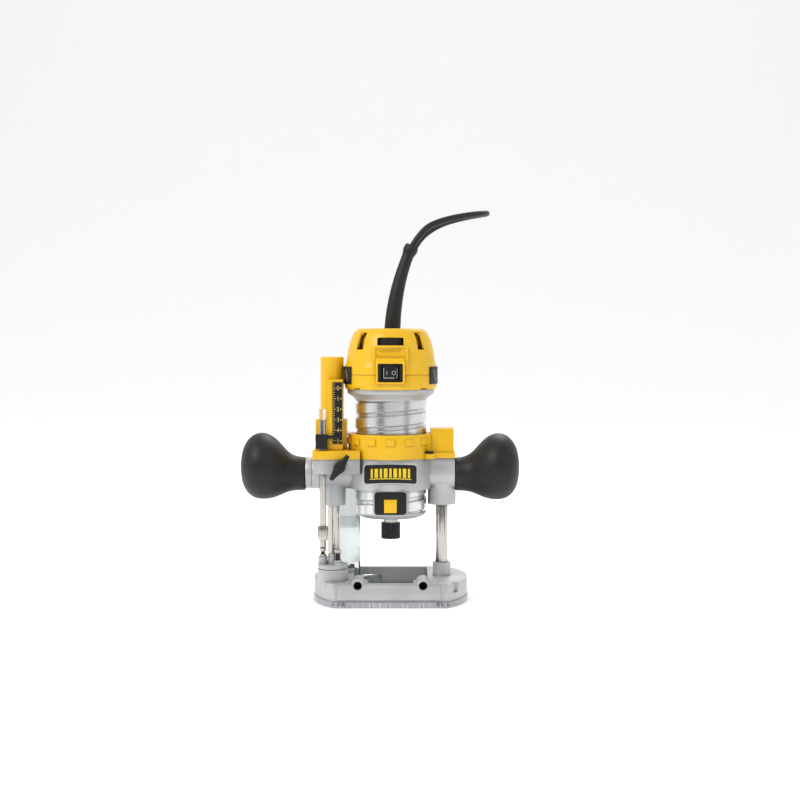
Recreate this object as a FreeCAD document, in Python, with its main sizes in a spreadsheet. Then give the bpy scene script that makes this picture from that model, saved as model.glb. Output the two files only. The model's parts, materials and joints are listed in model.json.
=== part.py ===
"""Plunge router: sole at z = 0, spindle on the Z axis, front towards -Y, millimetres."""
import FreeCAD, Part
import math
import os
import re
import Sketcher
from FreeCAD import Placement, Rotation, Vector

# ---------------------------------------------------------------- driving sizes

SIZES = [
    ("sole_radius", 75.0, "outer radius of the clear sole plate"),
    ("sole_front", 53.0, "front flat of the sole, distance from the spindle"),
    ("sole_rear", 52.0, "rear flat of the sole, distance from the spindle"),
    ("sole_thick", 5.5, "sole plate thickness"),
    ("deck_top", 22.5, "top of the base casting"),
    ("cutter_hole", 17.5, "radius of the cutter opening in the sole"),
    ("rod_bore", 4.05, "radius of the guide rod bores"),
    ("rod_side", 30.7, "guide rod bores, distance from the middle"),
    ("rod_height", 20.8, "guide rod bores, height"),
    ("column_radius", 6.0, "radius of the steel columns"),
    ("left_column_at", 55.4, "left column, distance from the spindle"),
    ("right_column_at", 49.5, "right column, distance from the spindle"),
    ("left_column_top", 170.0, "top of the long left column"),
    ("right_column_top", 105.0, "top of the short right column"),
    ("column_foot", 8.0, "bottom of both columns in the casting"),
    ("plunge", 55.0, "plunge travel"),
    ("bush_wall", 2.0, "wall of the bronze column bushes"),
    ("running_gap", 0.05, "radial clearance of a running fit"),
    ("motor_radius", 34.5, "outer radius of the motor barrel"),
    ("motor_foot", 80.2, "bottom of the motor barrel"),
    ("motor_wall", 2.5, "wall of the motor barrel"),
    ("barrel_top", 195.0, "top of the straight motor barrel"),
    ("flange_radius", 42.0, "radius of the flange below the cap"),
    ("cap_foot", 204.0, "bottom of the motor cap"),
    ("cap_top", 262.0, "top of the motor cap"),
    ("cap_wall", 2.5, "wall of the motor cap"),
    ("clamp_radius", 40.0, "outer radius of the motor clamp ring"),
    ("clamp_foot", 108.0, "bottom of the motor clamp ring"),
    ("clamp_top", 138.0, "top of the motor clamp ring"),
    ("arm_height", 122.5, "height of the two arm axes"),
    ("arm_radius", 15.5, "radius of the two arms"),
    ("right_arm_end", 61.7, "outer end of the right arm"),
    ("left_arm_end", 75.7, "outer end of the left arm"),
    ("collar_wide", 6.6, "width of the collar on the left arm"),
    ("cover_radius", 41.0, "radius of the cover's ring"),
    ("cover_top", 161.0, "top of the cover's ring"),
    ("tower_top", 234.8, "top of the tower over the left column"),
    ("stop_rod_at", 64.5, "depth rod, distance to the left of the spindle"),
    ("stop_rod_front", 26.5, "depth rod, distance to the front of the spindle"),
    ("stop_rod_radius", 3.2, "radius of the depth rod"),
    ("turret_at", 55.0, "turret axis, distance to the left of the spindle"),
    ("turret_radius", 14.3, "radius of the turret"),
    ("duct_at", 45.0, "dust duct, distance to the left of the spindle"),
    ("duct_back", 28.0, "dust duct, distance behind the spindle"),
    ("duct_radius", 14.5, "outer radius of the lower duct"),
    ("tube_radius", 12.0, "outer radius of the sliding duct tube"),
    ("duct_wall", 1.5, "wall of both duct tubes"),
    ("port_height", 146.0, "height of the dust port's axis"),
    ("port_radius", 13.0, "outer radius of the dust port"),
    ("cord_radius", 3.1, "radius of the mains cord"),
    ("coil_bend", 43.9, "radius of the coil's outermost turn"),
    ("coil_inner", 24.2, "radius of the coil's innermost turn"),
    ("coil_straight", 10.0, "straight part of each side of the coil"),
    ("coil_at", 5.9, "coil centre, distance to the right of the spindle"),
    ("coil_back", 101.5, "coil centre, distance behind the spindle"),
]
SIZE = {alias: size for alias, size, note in SIZES}

doc = FreeCAD.newDocument("plunge_router")
sheet = doc.addObject("Spreadsheet::Sheet", "Sizes")
for row, (alias, size, note) in enumerate(SIZES, start=1):
    sheet.set(f"A{row}", note)
    sheet.set(f"B{row}", str(size))
    sheet.setAlias(f"B{row}", alias)
doc.recompute()

NODES = []

# ---------------------------------------------------------------- drawing helpers

TURN = {
    "Z": Rotation(),
    "-Z": Rotation(Vector(1, 0, 0), 180),
    "X": Rotation(Vector(0, 1, 0), 90),
    "-X": Rotation(Vector(0, 1, 0), -90),
    "Y": Rotation(Vector(1, 0, 0), -90),
    "-Y": Rotation(Vector(1, 0, 0), 90),
}


def formula(text):
    """Write a sum of sizes as the document's own expression."""
    return re.sub(r"[a-z][a-z_]+", lambda word: "Sizes." + word.group(0), text)


def bind(thing, name, size):
    """Give one property a number, or tie it to the sheet."""
    if isinstance(size, str):
        thing.setExpression(name, formula(size))
    elif "." in name:
        thing.setExpression(name, str(float(size)))
    else:
        setattr(thing, name, size)


def put(thing, at, turn=Rotation()):
    """Turn an object, then tie its place to the sheet."""
    thing.Placement = Placement(Vector(0, 0, 0), turn)
    for letter, size in zip("xyz", at):
        bind(thing, f"Placement.Base.{letter}", size)
    return thing


def rod(radius, length, at, along="Z"):
    """Solid cylinder from a point along an axis."""
    thing = doc.addObject("Part::Cylinder", "Rod")
    bind(thing, "Radius", radius)
    bind(thing, "Height", length)
    return put(thing, at, TURN[along])


def cone(foot, top, length, at, along="Z"):
    """Cone frustum from a point along an axis."""
    thing = doc.addObject("Part::Cone", "Cone")
    bind(thing, "Radius1", foot)
    bind(thing, "Radius2", top)
    bind(thing, "Height", length)
    return put(thing, at, TURN[along])


def block(size, at, turn=Rotation()):
    """Box with its lowest corner at a point."""
    thing = doc.addObject("Part::Box", "Block")
    for name, length in zip(("Length", "Width", "Height"), size):
        bind(thing, name, length)
    return put(thing, at, turn)


def hoop(ring, section, at):
    """Torus that lies flat."""
    thing = doc.addObject("Part::Torus", "Hoop")
    bind(thing, "Radius1", ring)
    bind(thing, "Radius2", section)
    return put(thing, at)


def fuse(*things):
    """Join solids."""
    whole = doc.addObject("Part::MultiFuse", "Fuse")
    whole.Shapes = list(things)
    return whole


def group(*things):
    """Keep separate solids together in one node."""
    whole = doc.addObject("Part::Compound", "Group")
    whole.Links = list(things)
    return whole


def cut(solid, *tools):
    """Take tools away from a solid."""
    rest = doc.addObject("Part::Cut", "Cut")
    rest.Base = solid
    rest.Tool = tools[0] if len(tools) == 1 else fuse(*tools)
    return rest


def common(*things):
    """Keep what solids share."""
    shared = doc.addObject("Part::MultiCommon", "Common")
    shared.Shapes = list(things)
    return shared


def tube(outer, inner, length, at, along="Z"):
    """Straight pipe."""
    return cut(rod(outer, length, at, along), rod(inner, length, at, along))


def loft(sections, ruled=False):
    """Solid through round sections given as (centre, direction, radius)."""
    rings = []
    for centre, direction, radius in sections:
        ring = doc.addObject("Part::Circle", "Ring")
        bind(ring, "Radius", radius)
        ring.Placement = Placement(Vector(*centre), Rotation(Vector(0, 0, 1), Vector(*direction)))
        rings.append(ring)
    body = doc.addObject("Part::Loft", "Loft")
    body.Sections = rings
    body.Solid = True
    body.Ruled = ruled
    return body


def node(name, thing):
    """Name a finished sub-part."""
    thing.Label = name
    NODES.append(thing)
    return thing


def plane_of(body, role):
    """Find one of a body's origin planes."""
    return next(plane for plane in body.Origin.OriginFeatures if plane.Role == role)


def sketch_in(body, role):
    """Start a sketch on one of the body's origin planes."""
    sketch = body.newObject("Sketcher::SketchObject", "Sketch")
    sketch.AttachmentSupport = [(plane_of(body, role), "")]
    sketch.MapMode = "FlatFace"
    return sketch


def fix(sketch, kind, *place):
    """Add one dimension whose last value is a number or a formula."""
    size = place[-1]
    start = size if not isinstance(size, str) else 1.0
    number = sketch.addConstraint(Sketcher.Constraint(kind, *place[:-1], start))
    if isinstance(size, str):
        sketch.setExpression(f"Constraints[{number}]", formula(size))


def draw_outline(sketch, corners):
    """Closed outline of straight lines, every corner dimensioned from the origin."""
    first = sketch.GeometryCount
    last = first + len(corners) - 1
    guess = [Vector(5 * math.cos(i), 5 * math.sin(i), 0) for i in range(len(corners) + 1)]
    for number in range(len(corners)):
        sketch.addGeometry(Part.LineSegment(guess[number], guess[number + 1]))
    for number in range(first, last):
        sketch.addConstraint(Sketcher.Constraint("Coincident", number, 2, number + 1, 1))
    sketch.addConstraint(Sketcher.Constraint("Coincident", last, 2, first, 1))
    for number, (across, up) in enumerate(corners, start=first):
        fix(sketch, "DistanceX", -1, 1, number, 1, across)
        fix(sketch, "DistanceY", -1, 1, number, 1, up)


def draw_circle(sketch, across, up, radius):
    """Circle with its centre and radius dimensioned."""
    number = sketch.addGeometry(Part.Circle(Vector(1, 1, 0), Vector(0, 0, 1), 2))
    fix(sketch, "DistanceX", -1, 1, number, 3, across)
    fix(sketch, "DistanceY", -1, 1, number, 3, up)
    fix(sketch, "Radius", number, radius)


def new_body(name):
    """Empty PartDesign body for one sub-part."""
    body = doc.addObject("PartDesign::Body", "Body")
    return node(name, body)


def turned(name, corners, at=(0, 0, 0), turn="Z"):
    """PartDesign body turned on a lathe: corners are (radius, height)."""
    body = new_body(name)
    sketch = sketch_in(body, "XZ_Plane")
    draw_outline(sketch, corners)
    lathe = body.newObject("PartDesign::Revolution", "Turn")
    lathe.Profile = sketch
    lathe.ReferenceAxis = (sketch, ["V_Axis"])
    lathe.Angle = 360
    sketch.Visibility = False
    put(body, at, TURN[turn])
    return body


def padded(name, draw, thick, at=(0, 0, 0), turn="Z"):
    """PartDesign body padded from a sketch on its XY plane."""
    body = new_body(name)
    sketch = sketch_in(body, "XY_Plane")
    draw(sketch)
    pad = body.newObject("PartDesign::Pad", "Pad")
    pad.Profile = sketch
    bind(pad, "Length", thick)
    put(body, at, TURN[turn])
    return body


def pocket(body, role, draw, deep, reverse=False, offset=0.0):
    """Cut a sketched hole into a body and check that it took something away."""
    doc.recompute()
    before = body.Shape.Volume
    sketch = sketch_in(body, role)
    sketch.AttachmentOffset = Placement(Vector(0, 0, offset), Rotation())
    draw(sketch)
    hole = body.newObject("PartDesign::Pocket", "Pocket")
    hole.Profile = sketch
    bind(hole, "Length", deep)
    hole.Reversed = reverse
    doc.recompute()
    if body.Shape.Volume > before - 1e-6:
        raise RuntimeError(f"{body.Label}: a pocket cut nothing")
    return hole


# ---------------------------------------------------------------- base


def sole_blank(radius, front, rear, foot, thick):
    """Round plate with a flat front and rear."""
    disc = rod(radius, thick, (0, 0, foot))
    band = block((f"({radius}) * 2", f"{front} + {rear}", thick), (f"-({radius})", f"-({front})", foot))
    return common(disc, band)


def sub_base():
    """Clear sole plate with the cutter opening and four screw holes."""
    plate = sole_blank("sole_radius", "sole_front", "sole_rear", 0, "sole_thick")
    opening = rod("cutter_hole", 20, (0, 0, -5))
    holes = [rod(2.3, 20, (x, y, -5)) for x, y in SOLE_SCREWS]
    sinks = [cone(4.4, 2.3, 2.1, (x, y, 0)) for x, y in SOLE_SCREWS]
    node("sub_base", cut(plate, opening, *holes, *sinks))


SOLE_SCREWS = [(-46.0, -33.0), (46.0, -33.0), (-30.0, 47.0), (46.0, 33.0)]


def base_screws():
    """Countersunk screws from below into the casting, and the scoop's pan head screw."""
    screws = []
    for x, y in SOLE_SCREWS:
        head = cone(4.2, 2.1, 2.1, (x, y, 0.1))
        shank = rod(2.0, 9, (x, y, 2.1))
        screws.append(fuse(head, shank))
    scoop_screw = fuse(rod(3.4, 2.2, (-28, -17, 18)), rod(1.8, 9, (-28, -17, 9.5)))
    node("base_screws", group(*screws, scoop_screw))


def base_casting():
    """Aluminium base: an open well between two wings that carry the columns."""
    deck = "deck_top - sole_thick"
    outer = sole_blank("sole_radius - 1", "sole_front - 1.5", "sole_rear - 0.8", "sole_thick", deck)
    panel = block((97, 3, 14), (-50, "-sole_front + 0.6", 7.5))
    bosses = [rod(6.7, 21.5, (side, "-sole_front + 1.5", "rod_height"), "Y") for side in ("-rod_side", "rod_side")]
    left_foot = rod(8.75, 12, ("-left_column_at", 0, "deck_top - 1"))
    right_foot = rod(8.75, 14, ("right_column_at", 0, "deck_top - 1"))
    pedestal = rod("turret_radius + 0.3", 12, ("-turret_at", "-stop_rod_front", "deck_top - 1"))
    duct_seat = rod("duct_radius + 1.5", 5, ("-duct_at", "duct_back", "deck_top - 1"))
    body = fuse(outer, panel, *bosses, left_foot, right_foot, pedestal, duct_seat)
    well = block((72, 75, 40), (-36, -29, 0))
    well_front = block((44, 20, 40), (-22, -46, 0))
    bores = [rod("rod_bore", 60, (side, -70, "rod_height"), "Y") for side in ("-rod_side", "rod_side")]
    columns = [
        rod("column_radius", 60, ("-left_column_at", 0, "column_foot")),
        rod("column_radius", 60, ("right_column_at", 0, "column_foot")),
    ]
    duct_hole = rod("duct_radius + 0.05", 40, ("-duct_at", "duct_back", "sole_thick + 3"))
    duct_mouth = block((22, 22, 40), (-46, 17, 0))
    screw_holes = [rod(2.0, 6.2, (x, y, 5)) for x, y in SOLE_SCREWS]
    recess = rod(4.0, 12, (62, "-sole_front + 12", 13))
    axle = rod(2.5, 12, ("-turret_at", "-stop_rod_front", 23))
    node("base_casting", cut(body, well, well_front, *bores, *columns, duct_hole, duct_mouth,
                             *screw_holes, recess, axle))


def columns():
    """Two steel columns: a long tube on the left, a short one on the right."""
    hollow = "column_radius - 1.6"
    left = rod("column_radius", "left_column_top - column_foot", ("-left_column_at", 0, "column_foot"))
    left_bore = rod(hollow, "left_column_top", ("-left_column_at", 0, "column_foot + 40"))
    node("left_column", cut(left, left_bore))
    right = rod("column_radius", "right_column_top - column_foot", ("right_column_at", 0, "column_foot"))
    right_bore = rod(hollow, "right_column_top", ("right_column_at", 0, "column_foot + 20"))
    node("right_column", cut(right, right_bore))


def coil_spring(across, foot, top, turns):
    """Compression spring whose wire follows a helix."""
    wire = 0.55
    radius = 3.4
    helix = Part.makeHelix((top - foot - 2 * wire) / turns, top - foot - 2 * wire, radius)
    section = Part.Wire([Part.Circle(Vector(radius, 0, 0), Vector(0, 1, 0), wire).toShape()])
    spring = Part.Wire(helix).makePipeShell([section], True, True)
    spring.translate(Vector(across, 0, foot + wire))
    return spring


def plunge_springs():
    """One spring in each hollow column, up to the roof over it."""
    springs = [
        coil_spring(-SIZE["left_column_at"], SIZE["column_foot"] + 40.0, 231.6, 30),
        coil_spring(SIZE["right_column_at"], SIZE["column_foot"] + 20.0, 162.6, 22),
    ]
    feature = doc.addObject("Part::Feature", "Springs")
    feature.Shape = Part.Compound(springs)
    node("plunge_springs", feature)


def dust_duct():
    """Clear duct on the base and its scoop into the well."""
    foot = "sole_thick + 3"
    pipe = tube("duct_radius", "duct_radius - duct_wall", f"77.5 - ({foot})", ("-duct_at", "duct_back", foot))
    window = block((20, 16, 26), (-40, 14, "sole_thick"))
    node("dust_duct", cut(pipe, window))
    outer = fuse(
        block((15, 34, 12), (-35, -14, "sole_thick + 0.5")),
        rod(13, 12, (-20, 20, "sole_thick + 0.5")),
    )
    inner = fuse(
        block((40, 31, 9), (-33, -12.5, "sole_thick")),
        rod(11.5, 9, (-20, 20, "sole_thick")),
        rod(31, 30, (0, -2, "sole_thick")),
    )
    lip = cut(block((11, 14, 3), (-33, -22, "sole_thick + 9.5")), rod(2.0, 20, (-28, -17, 5)))
    node("dust_scoop", fuse(cut(outer, inner), lip))


# ---------------------------------------------------------------- depth stop


def stop_turret():
    """Three-step turret with three adjusting screws, each with a lock nut."""
    centre = ("-turret_at", "-stop_rod_front")
    disc = rod("turret_radius", 4, (*centre, 34))
    hub = rod(4.6, 9, (*centre, 36))
    steps = []
    screws = []
    sockets = []
    nuts = []
    reach = SIZE["stop_rod_at"] - SIZE["turret_at"]
    for number, (angle, step_top, screw_top) in enumerate([(180, 45.0, 53.4), (60, 38.5, 49.0), (300, 40.5, 53.2)]):
        x = -SIZE["turret_at"] + reach * math.cos(math.radians(angle))
        y = -SIZE["stop_rod_front"] + reach * math.sin(math.radians(angle))
        steps.append(rod(4.4, step_top - 36, (x, y, 36)))
        screws.append(rod(1.9, screw_top - step_top + 4.0, (x, y, step_top - 4.0)))
        sockets.append(rod(1.9, 20, (x, y, step_top - 4.0)))
        nuts.append(cut(rod(3.4, 2.2, (x, y, step_top)), rod(1.9, 10, (x, y, step_top - 1))))
        steps.append(rod(4.4, 0.5, (x, y, 35.5)))
    bore = rod(2.55, 30, (*centre, 30))
    node("stop_turret", cut(fuse(disc, hub, *steps), bore, *sockets))
    node("stop_screws", group(*screws))
    node("stop_lock_nuts", group(*nuts))
    head = rod(4.2, 2.4, (*centre, 45.2))
    shank = rod(2.5, 19.2, (*centre, 26))
    node("turret_bolt", fuse(head, shank))


def depth_rod():
    """Depth rod with its clear cap, turning sleeve and pointer."""
    place = ("-stop_rod_at", "-stop_rod_front")
    node("depth_rod", rod("stop_rod_radius", 175.5 - 53.9, (*place, 53.9)))
    node("rod_cap", rod("stop_rod_radius + 0.1", 10, (*place, 175.5)))
    knurl = tube(4.9, "stop_rod_radius + running_gap", 13, (*place, 60.8))
    node("fine_adjuster", knurl)
    grip = block((10.6, 11, 13.6), (-71, "-stop_rod_front - 5.5", 148))
    arm = block((12.6, 2.5, 3.0), (-60.6, "-stop_rod_front - 4.4", 157.6))
    hole = rod("stop_rod_radius", 40, (*place, 140))
    node("depth_pointer", cut(fuse(grip, arm), hole))


# ---------------------------------------------------------------- carriage


def carriage_casting():
    """Motor clamp ring with its two arms, column bosses and clamp ears."""
    ring = rod("clamp_radius", "clamp_top - clamp_foot", (0, 0, "clamp_foot"))
    right_arm = rod("arm_radius", "right_arm_end - 20", (20, 0, "arm_height"), "X")
    left_arm = rod("arm_radius", "left_arm_end - 20", (-20, 0, "arm_height"), "-X")
    right_boss = rod(13.5, 35, ("right_column_at", 0, 92.5))
    left_boss = rod(11.8, 38, ("-left_column_at", 0, 91.6))
    right_deck = block((30, 26, 12), (32, -13, 126))
    left_deck = block((44, 46, 14), (-73, -33, 124))
    rod_boss = rod(7.0, 14, ("-stop_rod_at", "-stop_rod_front", 124))
    ears = [block((10, 22, 20), (x, 36, 113)) for x in (-11.5, 1.5)]
    body = fuse(ring, right_arm, left_arm, right_boss, left_boss, right_deck, left_deck, rod_boss, *ears)
    motor_bore = rod("motor_radius + 0.1", 80, (0, 0, 90))
    slit = block((3, 40, 60), (-1.5, 25, 95))
    bush_bore = "column_radius + bush_wall"
    columns = [
        rod(bush_bore, 100, ("right_column_at", 0, 80)),
        rod(bush_bore, 100, ("-left_column_at", 0, 80)),
    ]
    stop_bore = rod("stop_rod_radius + running_gap", 60, ("-stop_rod_at", "-stop_rod_front", 100))
    stop_recess = rod(5.4, 29.6, ("-stop_rod_at", "-stop_rod_front", 100))
    duct_bore = rod("duct_radius + 0.5", 60, ("-duct_at", "duct_back", 100))
    knob_hole = rod(2.6, 18, (-48, -40, 131), "Y")
    clamp_hole = rod(3.1, 60, (-30, 50, 123), "X")
    lock_hole = rod(4.1, 30, (52, 6, "arm_height"), "Y")
    grip_room = block((10, 60, 60), ("right_arm_end", -30, 104))
    node("carriage_casting", cut(body, motor_bore, slit, *columns, stop_bore, stop_recess, duct_bore,
                                 knob_hole, clamp_hole, lock_hole, grip_room))


def column_bushes():
    """Bronze bushes that run on the columns."""
    outer = "column_radius + bush_wall"
    inner = "column_radius + running_gap"
    left = tube(outer, inner, 46, ("-left_column_at", 0, 91.8))
    right = tube(outer, inner, 45.5, ("right_column_at", 0, 92.3))
    node("column_bushes", group(left, right))


def carriage_cover():
    """Yellow cover: ring round the motor, left plate, right plate and right column box."""
    ring = rod("cover_radius", "cover_top - clamp_top", (0, 0, "clamp_top"))
    left_plate = block((45, 47, 8), (-74, -34, "clamp_top"))
    right_plate = block((34, 32, 5), (28, -16, "clamp_top"))
    right_box = block((22, 26, 27.8), (38.5, -13, "clamp_top"))
    tabs = []
    for number in range(14):
        turn = Rotation(Vector(0, 0, 1), 360.0 * (number + 0.5) / 14)
        corner = turn.multVec(Vector(38, -4.25, 0))
        tabs.append(block((3.8, 8.5, 6.5), (corner.x, corner.y, 151), turn))
    tab_band = common(rod("cover_radius + 0.8", 30, (0, 0, 145)), fuse(*tabs))
    body = fuse(ring, left_plate, right_plate, right_box, tab_band)
    motor_hole = rod("motor_radius + 0.6", 80, (0, 0, 120))
    left_hole = rod(8.5, 60, ("-left_column_at", 0, 120))
    right_hole = rod(8.5, 43.3, ("right_column_at", 0, 120))
    stop_hole = rod("stop_rod_radius + 0.5", 60, ("-stop_rod_at", "-stop_rod_front", 120))
    duct_clear = rod("port_radius + 1.3", 60, ("-duct_at", "duct_back", 120))
    screw_holes = [rod(2.2, 30, (x, -24, 135)) for x in (-37, 37)]
    sinks = [rod(4.2, 10, (x, -24, 142.8)) for x in (-37, 37)]
    lug = rod(5.5, 5, (37, -22, "clamp_top"))
    node("carriage_cover", cut(fuse(body, lug), motor_hole, left_hole, right_hole, stop_hole,
                               duct_clear, *screw_holes, *sinks))


def cover_screws():
    """Screws that hold the cover to the casting."""
    left = fuse(rod(3.9, 2.4, (-37, -24, 142.8)), rod(2.0, 5.0, (-37, -24, 138.1)))
    right = fuse(rod(3.9, 2.4, (37, -24, 142.9)), rod(2.0, 5.0, (37, -24, 138.1)))
    node("cover_screws", group(left, right))


def column_tower():
    """Yellow tower over the long column, with the block that carries the depth scale."""
    shaft = rod(11.2, "tower_top - 146", (-56.8, 0, 146))
    skirt = block((29.6, 23, 28.5), (-72, -12, 146))
    scale_block = block((14.4, 16, 67.4), (-60, -26, 146))
    bridge = block((14.4, 12, 67.4), (-60, -12, 146))
    top_band = hoop(9.0, 2.4, (-56.8, 0, "tower_top - 2.4"))
    body = fuse(shaft, skirt, scale_block, bridge, top_band)
    hollow = rod(8.5, "tower_top - 3 - 140", ("-left_column_at", 0, 140))
    node("column_tower", cut(body, hollow))
    node("depth_scale", block((9.2, 0.8, 58.6), (-55.1, -26.8, 152.4)))


def nameplate():
    """Thin plate that wraps the front of the clamp ring."""
    band = tube("clamp_radius + 0.8", "clamp_radius", 17.7, (0, 0, 116.3))
    front = block((49, 20, 40), (-24.5, -45, 100))
    node("nameplate", common(band, front))


def grip(name, side, root, lift):
    """Soft bulb handle: a neck, then a bulb that sits a little higher."""
    sections = [(0, 0.0, 16.2), (9, 0.3, 16.4), (17, 1.6, 19.0), (24, 4.2, 25.0), (32, 6.6, 30.6),
                (41, 7.8, 32.9), (50, 7.6, 31.6), (57, 7.2, 25.6), (61, 7.0, 17.5), (62.6, 7.0, 8.0)]
    rings = [((side * (root + x), 0, lift + z), (side, 0, 0), r) for x, z, r in sections]
    node(name, loft(rings))


def grips():
    """Both handles, the left arm's collar and the bolts inside."""
    grip("right_grip", 1, SIZE["right_arm_end"], SIZE["arm_height"] - 1.5)
    left_root = SIZE["left_arm_end"] + SIZE["collar_wide"]
    grip("left_grip", -1, left_root, SIZE["arm_height"] - 1.0)
    node("grip_collar", rod("arm_radius - 0.4", "collar_wide", ("-left_arm_end", 0, "arm_height"), "-X"))


def depth_knob():
    """Wing knob that clamps the depth rod, with its screw."""
    hub = rod(5.3, 9.5, (-48, -43.9, 131), "Y")
    lean = math.radians(55)
    wings = []
    for side in (-1, 1):
        wing = cone(4.3, 2.2, 13.8, (-48, -41.0, 131))
        outwards = Vector(side * math.cos(lean), 0, side * math.sin(lean))
        wing.Placement = Placement(Vector(-48, -41.0, 131), Rotation(Vector(0, 0, 1), outwards))
        wings.append(wing)
    screw = rod(2.5, 11.5, (-48, -34.9, 131), "Y")
    node("depth_knob", fuse(hub, screw, *wings))


def dust_tube():
    """Clear tube that slides in the lower duct, with a round head and a port to the rear."""
    place = ("-duct_at", "duct_back")
    head_foot = "port_height - port_radius"
    head = rod("port_radius + 0.7", "port_radius * 2 + 0.6", (*place, head_foot))
    upper = rod("tube_radius", f"{head_foot} - 65", (*place, 66))
    port = rod("port_radius - 0.8", 46, (*place, "port_height"), "Y")
    chamber = rod("port_radius - 1.1", "port_radius * 2 - 3", (*place, f"{head_foot} + 1.8"))
    bore = rod("port_radius - 2.5", 60, (*place, "port_height"), "Y")
    drop = rod("tube_radius - duct_wall", f"{head_foot} - 60", (*place, 65))
    node("dust_tube", cut(cut(cut(fuse(head, port, upper), chamber), bore), drop))


def plunge_lock():
    """Lever behind the right arm that clamps the column, with its screw."""
    boss = rod(8.5, 7.5, (52, 16.0, "arm_height"), "Y")
    blade = block((9, 5, 34), (47.5, 18, "arm_height"))
    pad = rod(6.0, 6.5, (52, 17.3, "arm_height + 34"), "Y")
    node("plunge_lock_lever", fuse(boss, blade, pad))
    node("plunge_lock_screw", rod(4.0, 7.3, (52, 8.4, "arm_height"), "Y"))


def motor_clamp():
    """Bolt through the two ears, its nut and the over-centre lever."""
    node("clamp_bolt", fuse(rod(3.0, 31.6, (-12, 50, 123), "X"), rod(5.6, 4, (-15.6, 50, 123), "X")))
    cam = rod(7.0, 7.6, (11.9, 50, 123), "X")
    blade = block((7.6, 6, 30), (11.9, 53, 95))
    node("clamp_lever", cut(fuse(cam, blade), rod(3.1, 30, (5, 50, 123), "X")))


# ---------------------------------------------------------------- motor


def motor_barrel():
    """Aluminium motor barrel with its bearing seat and top flange."""
    inside = "motor_radius - motor_wall"
    profile = [(8.2, "motor_foot"), ("motor_radius - 1.5", "motor_foot"), ("motor_radius", "motor_foot + 1.5"),
               ("motor_radius", "barrel_top"), ("flange_radius", "barrel_top + 5"),
               ("flange_radius", "cap_foot"), (inside, "cap_foot"), (inside, 90), (11.0, 90),
               (11.0, 82), (8.2, 82)]
    body = turned("motor_barrel", profile)
    pocket(body, "XZ_Plane", lambda sketch: draw_circle(sketch, 0, 93.6, 2.2), 40, reverse=True)


def motor_cap():
    """Yellow cap shell with openings for switch, dial, cord and cooling air."""
    outline = [("flange_radius + 1.4", "cap_foot"), ("flange_radius + 2.6", 207), ("flange_radius + 2.4", 226),
               ("flange_radius + 0.8", 230), ("flange_radius - 0.7", 242), ("flange_radius - 3.3", 251.5),
               ("flange_radius - 6.6", 258.5), ("flange_radius - 11", "cap_top")]
    inner = [(f"{radius} - cap_wall", height) for radius, height in outline[:-1]]
    inner.append(("flange_radius - 12.5", "cap_top - cap_wall"))
    shell = turned("cap_shell", outline + [(0, "cap_top"), (0, "cap_top - cap_wall")] + inner[::-1])
    NODES.remove(shell)
    frame = block((27, 8, 21), (-13.5, -46.6, 209.7))
    switch_hole = block((23, 14, 16.8), (-11.5, -50, 211.8))
    dial_hole = block((24.6, 16, 7.2), (-12.3, -46, 246.1))
    gland_hole = rod(5.2, 12, (1.3, 21, 255))
    slots = []
    for angle in (45, 135, 225, 315):
        turn = Rotation(Vector(0, 0, 1), angle)
        corner = turn.multVec(Vector(28, -2.5, 0))
        slots.append(block((30, 5, 16), (corner.x, corner.y, 242), turn))
    solid_frame = cut(frame, rod("flange_radius + 2.4 - cap_wall", 60, (0, 0, 200)))
    node("motor_cap", cut(fuse(shell, solid_frame), switch_hole, dial_hole, gland_hole, *slots))


def cap_pads():
    """Blank pads on both flanks of the cap."""
    band = tube("flange_radius + 3.1", "flange_radius + 2.6", 17, (0, 0, 208))
    sides = [common(band, block((20, 13, 30), (x, -6.5, 200))) for x in (-50, 30)]
    node("cap_pads", group(*sides))


def switch():
    """Switch body with its rocker."""
    shell = block((22.8, 16, 16.6), (-11.4, -46.1, 211.9))
    well = block((16.8, 20, 13.4), (-8.4, -58, 213.5))
    node("switch_body", cut(shell, well))
    lean = Rotation(Vector(0, 0, 1), -6)
    corner = Vector(0, -42, 213.8) + lean.multVec(Vector(-7.2, -4.9, 0))
    rocker = block((14.4, 5.6, 12.8), tuple(corner), lean)
    node("power_rocker", common(rocker, rod(8.0, 30, (0, -42, 205))))


def speed_dial():
    """Thumbwheel on a short shaft that stands on the control board."""
    wheel = rod(13.5, 6.2, (0, -25.8, 246.6))
    grooves = []
    for number in range(24):
        angle = math.radians(360 / 24 * number)
        spot = (13.9 * math.cos(angle), -25.8 + 13.9 * math.sin(angle), 246)
        grooves.append(rod(0.9, 8, spot))
    shaft = rod(2.0, 2.0, (0, -25.8, 244.8))
    node("speed_dial", fuse(cut(wheel, *grooves), shaft))
    board = block((44, 40, 1.6), (-22, -31, 243))
    capacitor = rod(5.0, 11, (-12, 2, 244.6))
    choke = block((12, 9, 8), (6, -4, 244.6))
    node("control_board", fuse(board, capacitor, choke))


def strain_relief():
    """Long tapered sleeve that leans to the right and ends in a bead."""
    sections = [((1.3, 21, 262), (0, 0, 1), 8.1), ((2.7, 21.2, 278), (0.12, 0.01, 1), 7.6),
                ((5.7, 21.7, 297), (0.2, 0.02, 1), 6.9), ((10.2, 22.6, 315), (0.31, 0.04, 1), 6.2),
                ((14.9, 23.7, 329), (0.43, 0.06, 1), 5.7), ((17.0, 24.2, 334.5), (0.5, 0.07, 1), 5.7),
                ((18.6, 24.7, 338.3), (0.54, 0.07, 1), 7.1), ((21.0, 25.3, 343), (0.58, 0.08, 1), 7.0)]
    root = rod(5.1, 8, (1.3, 21, 254.2))
    node("strain_relief", fuse(loft(sections[:6]), loft(sections[5:], ruled=True), root))


SHAFT = 5.5


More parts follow.
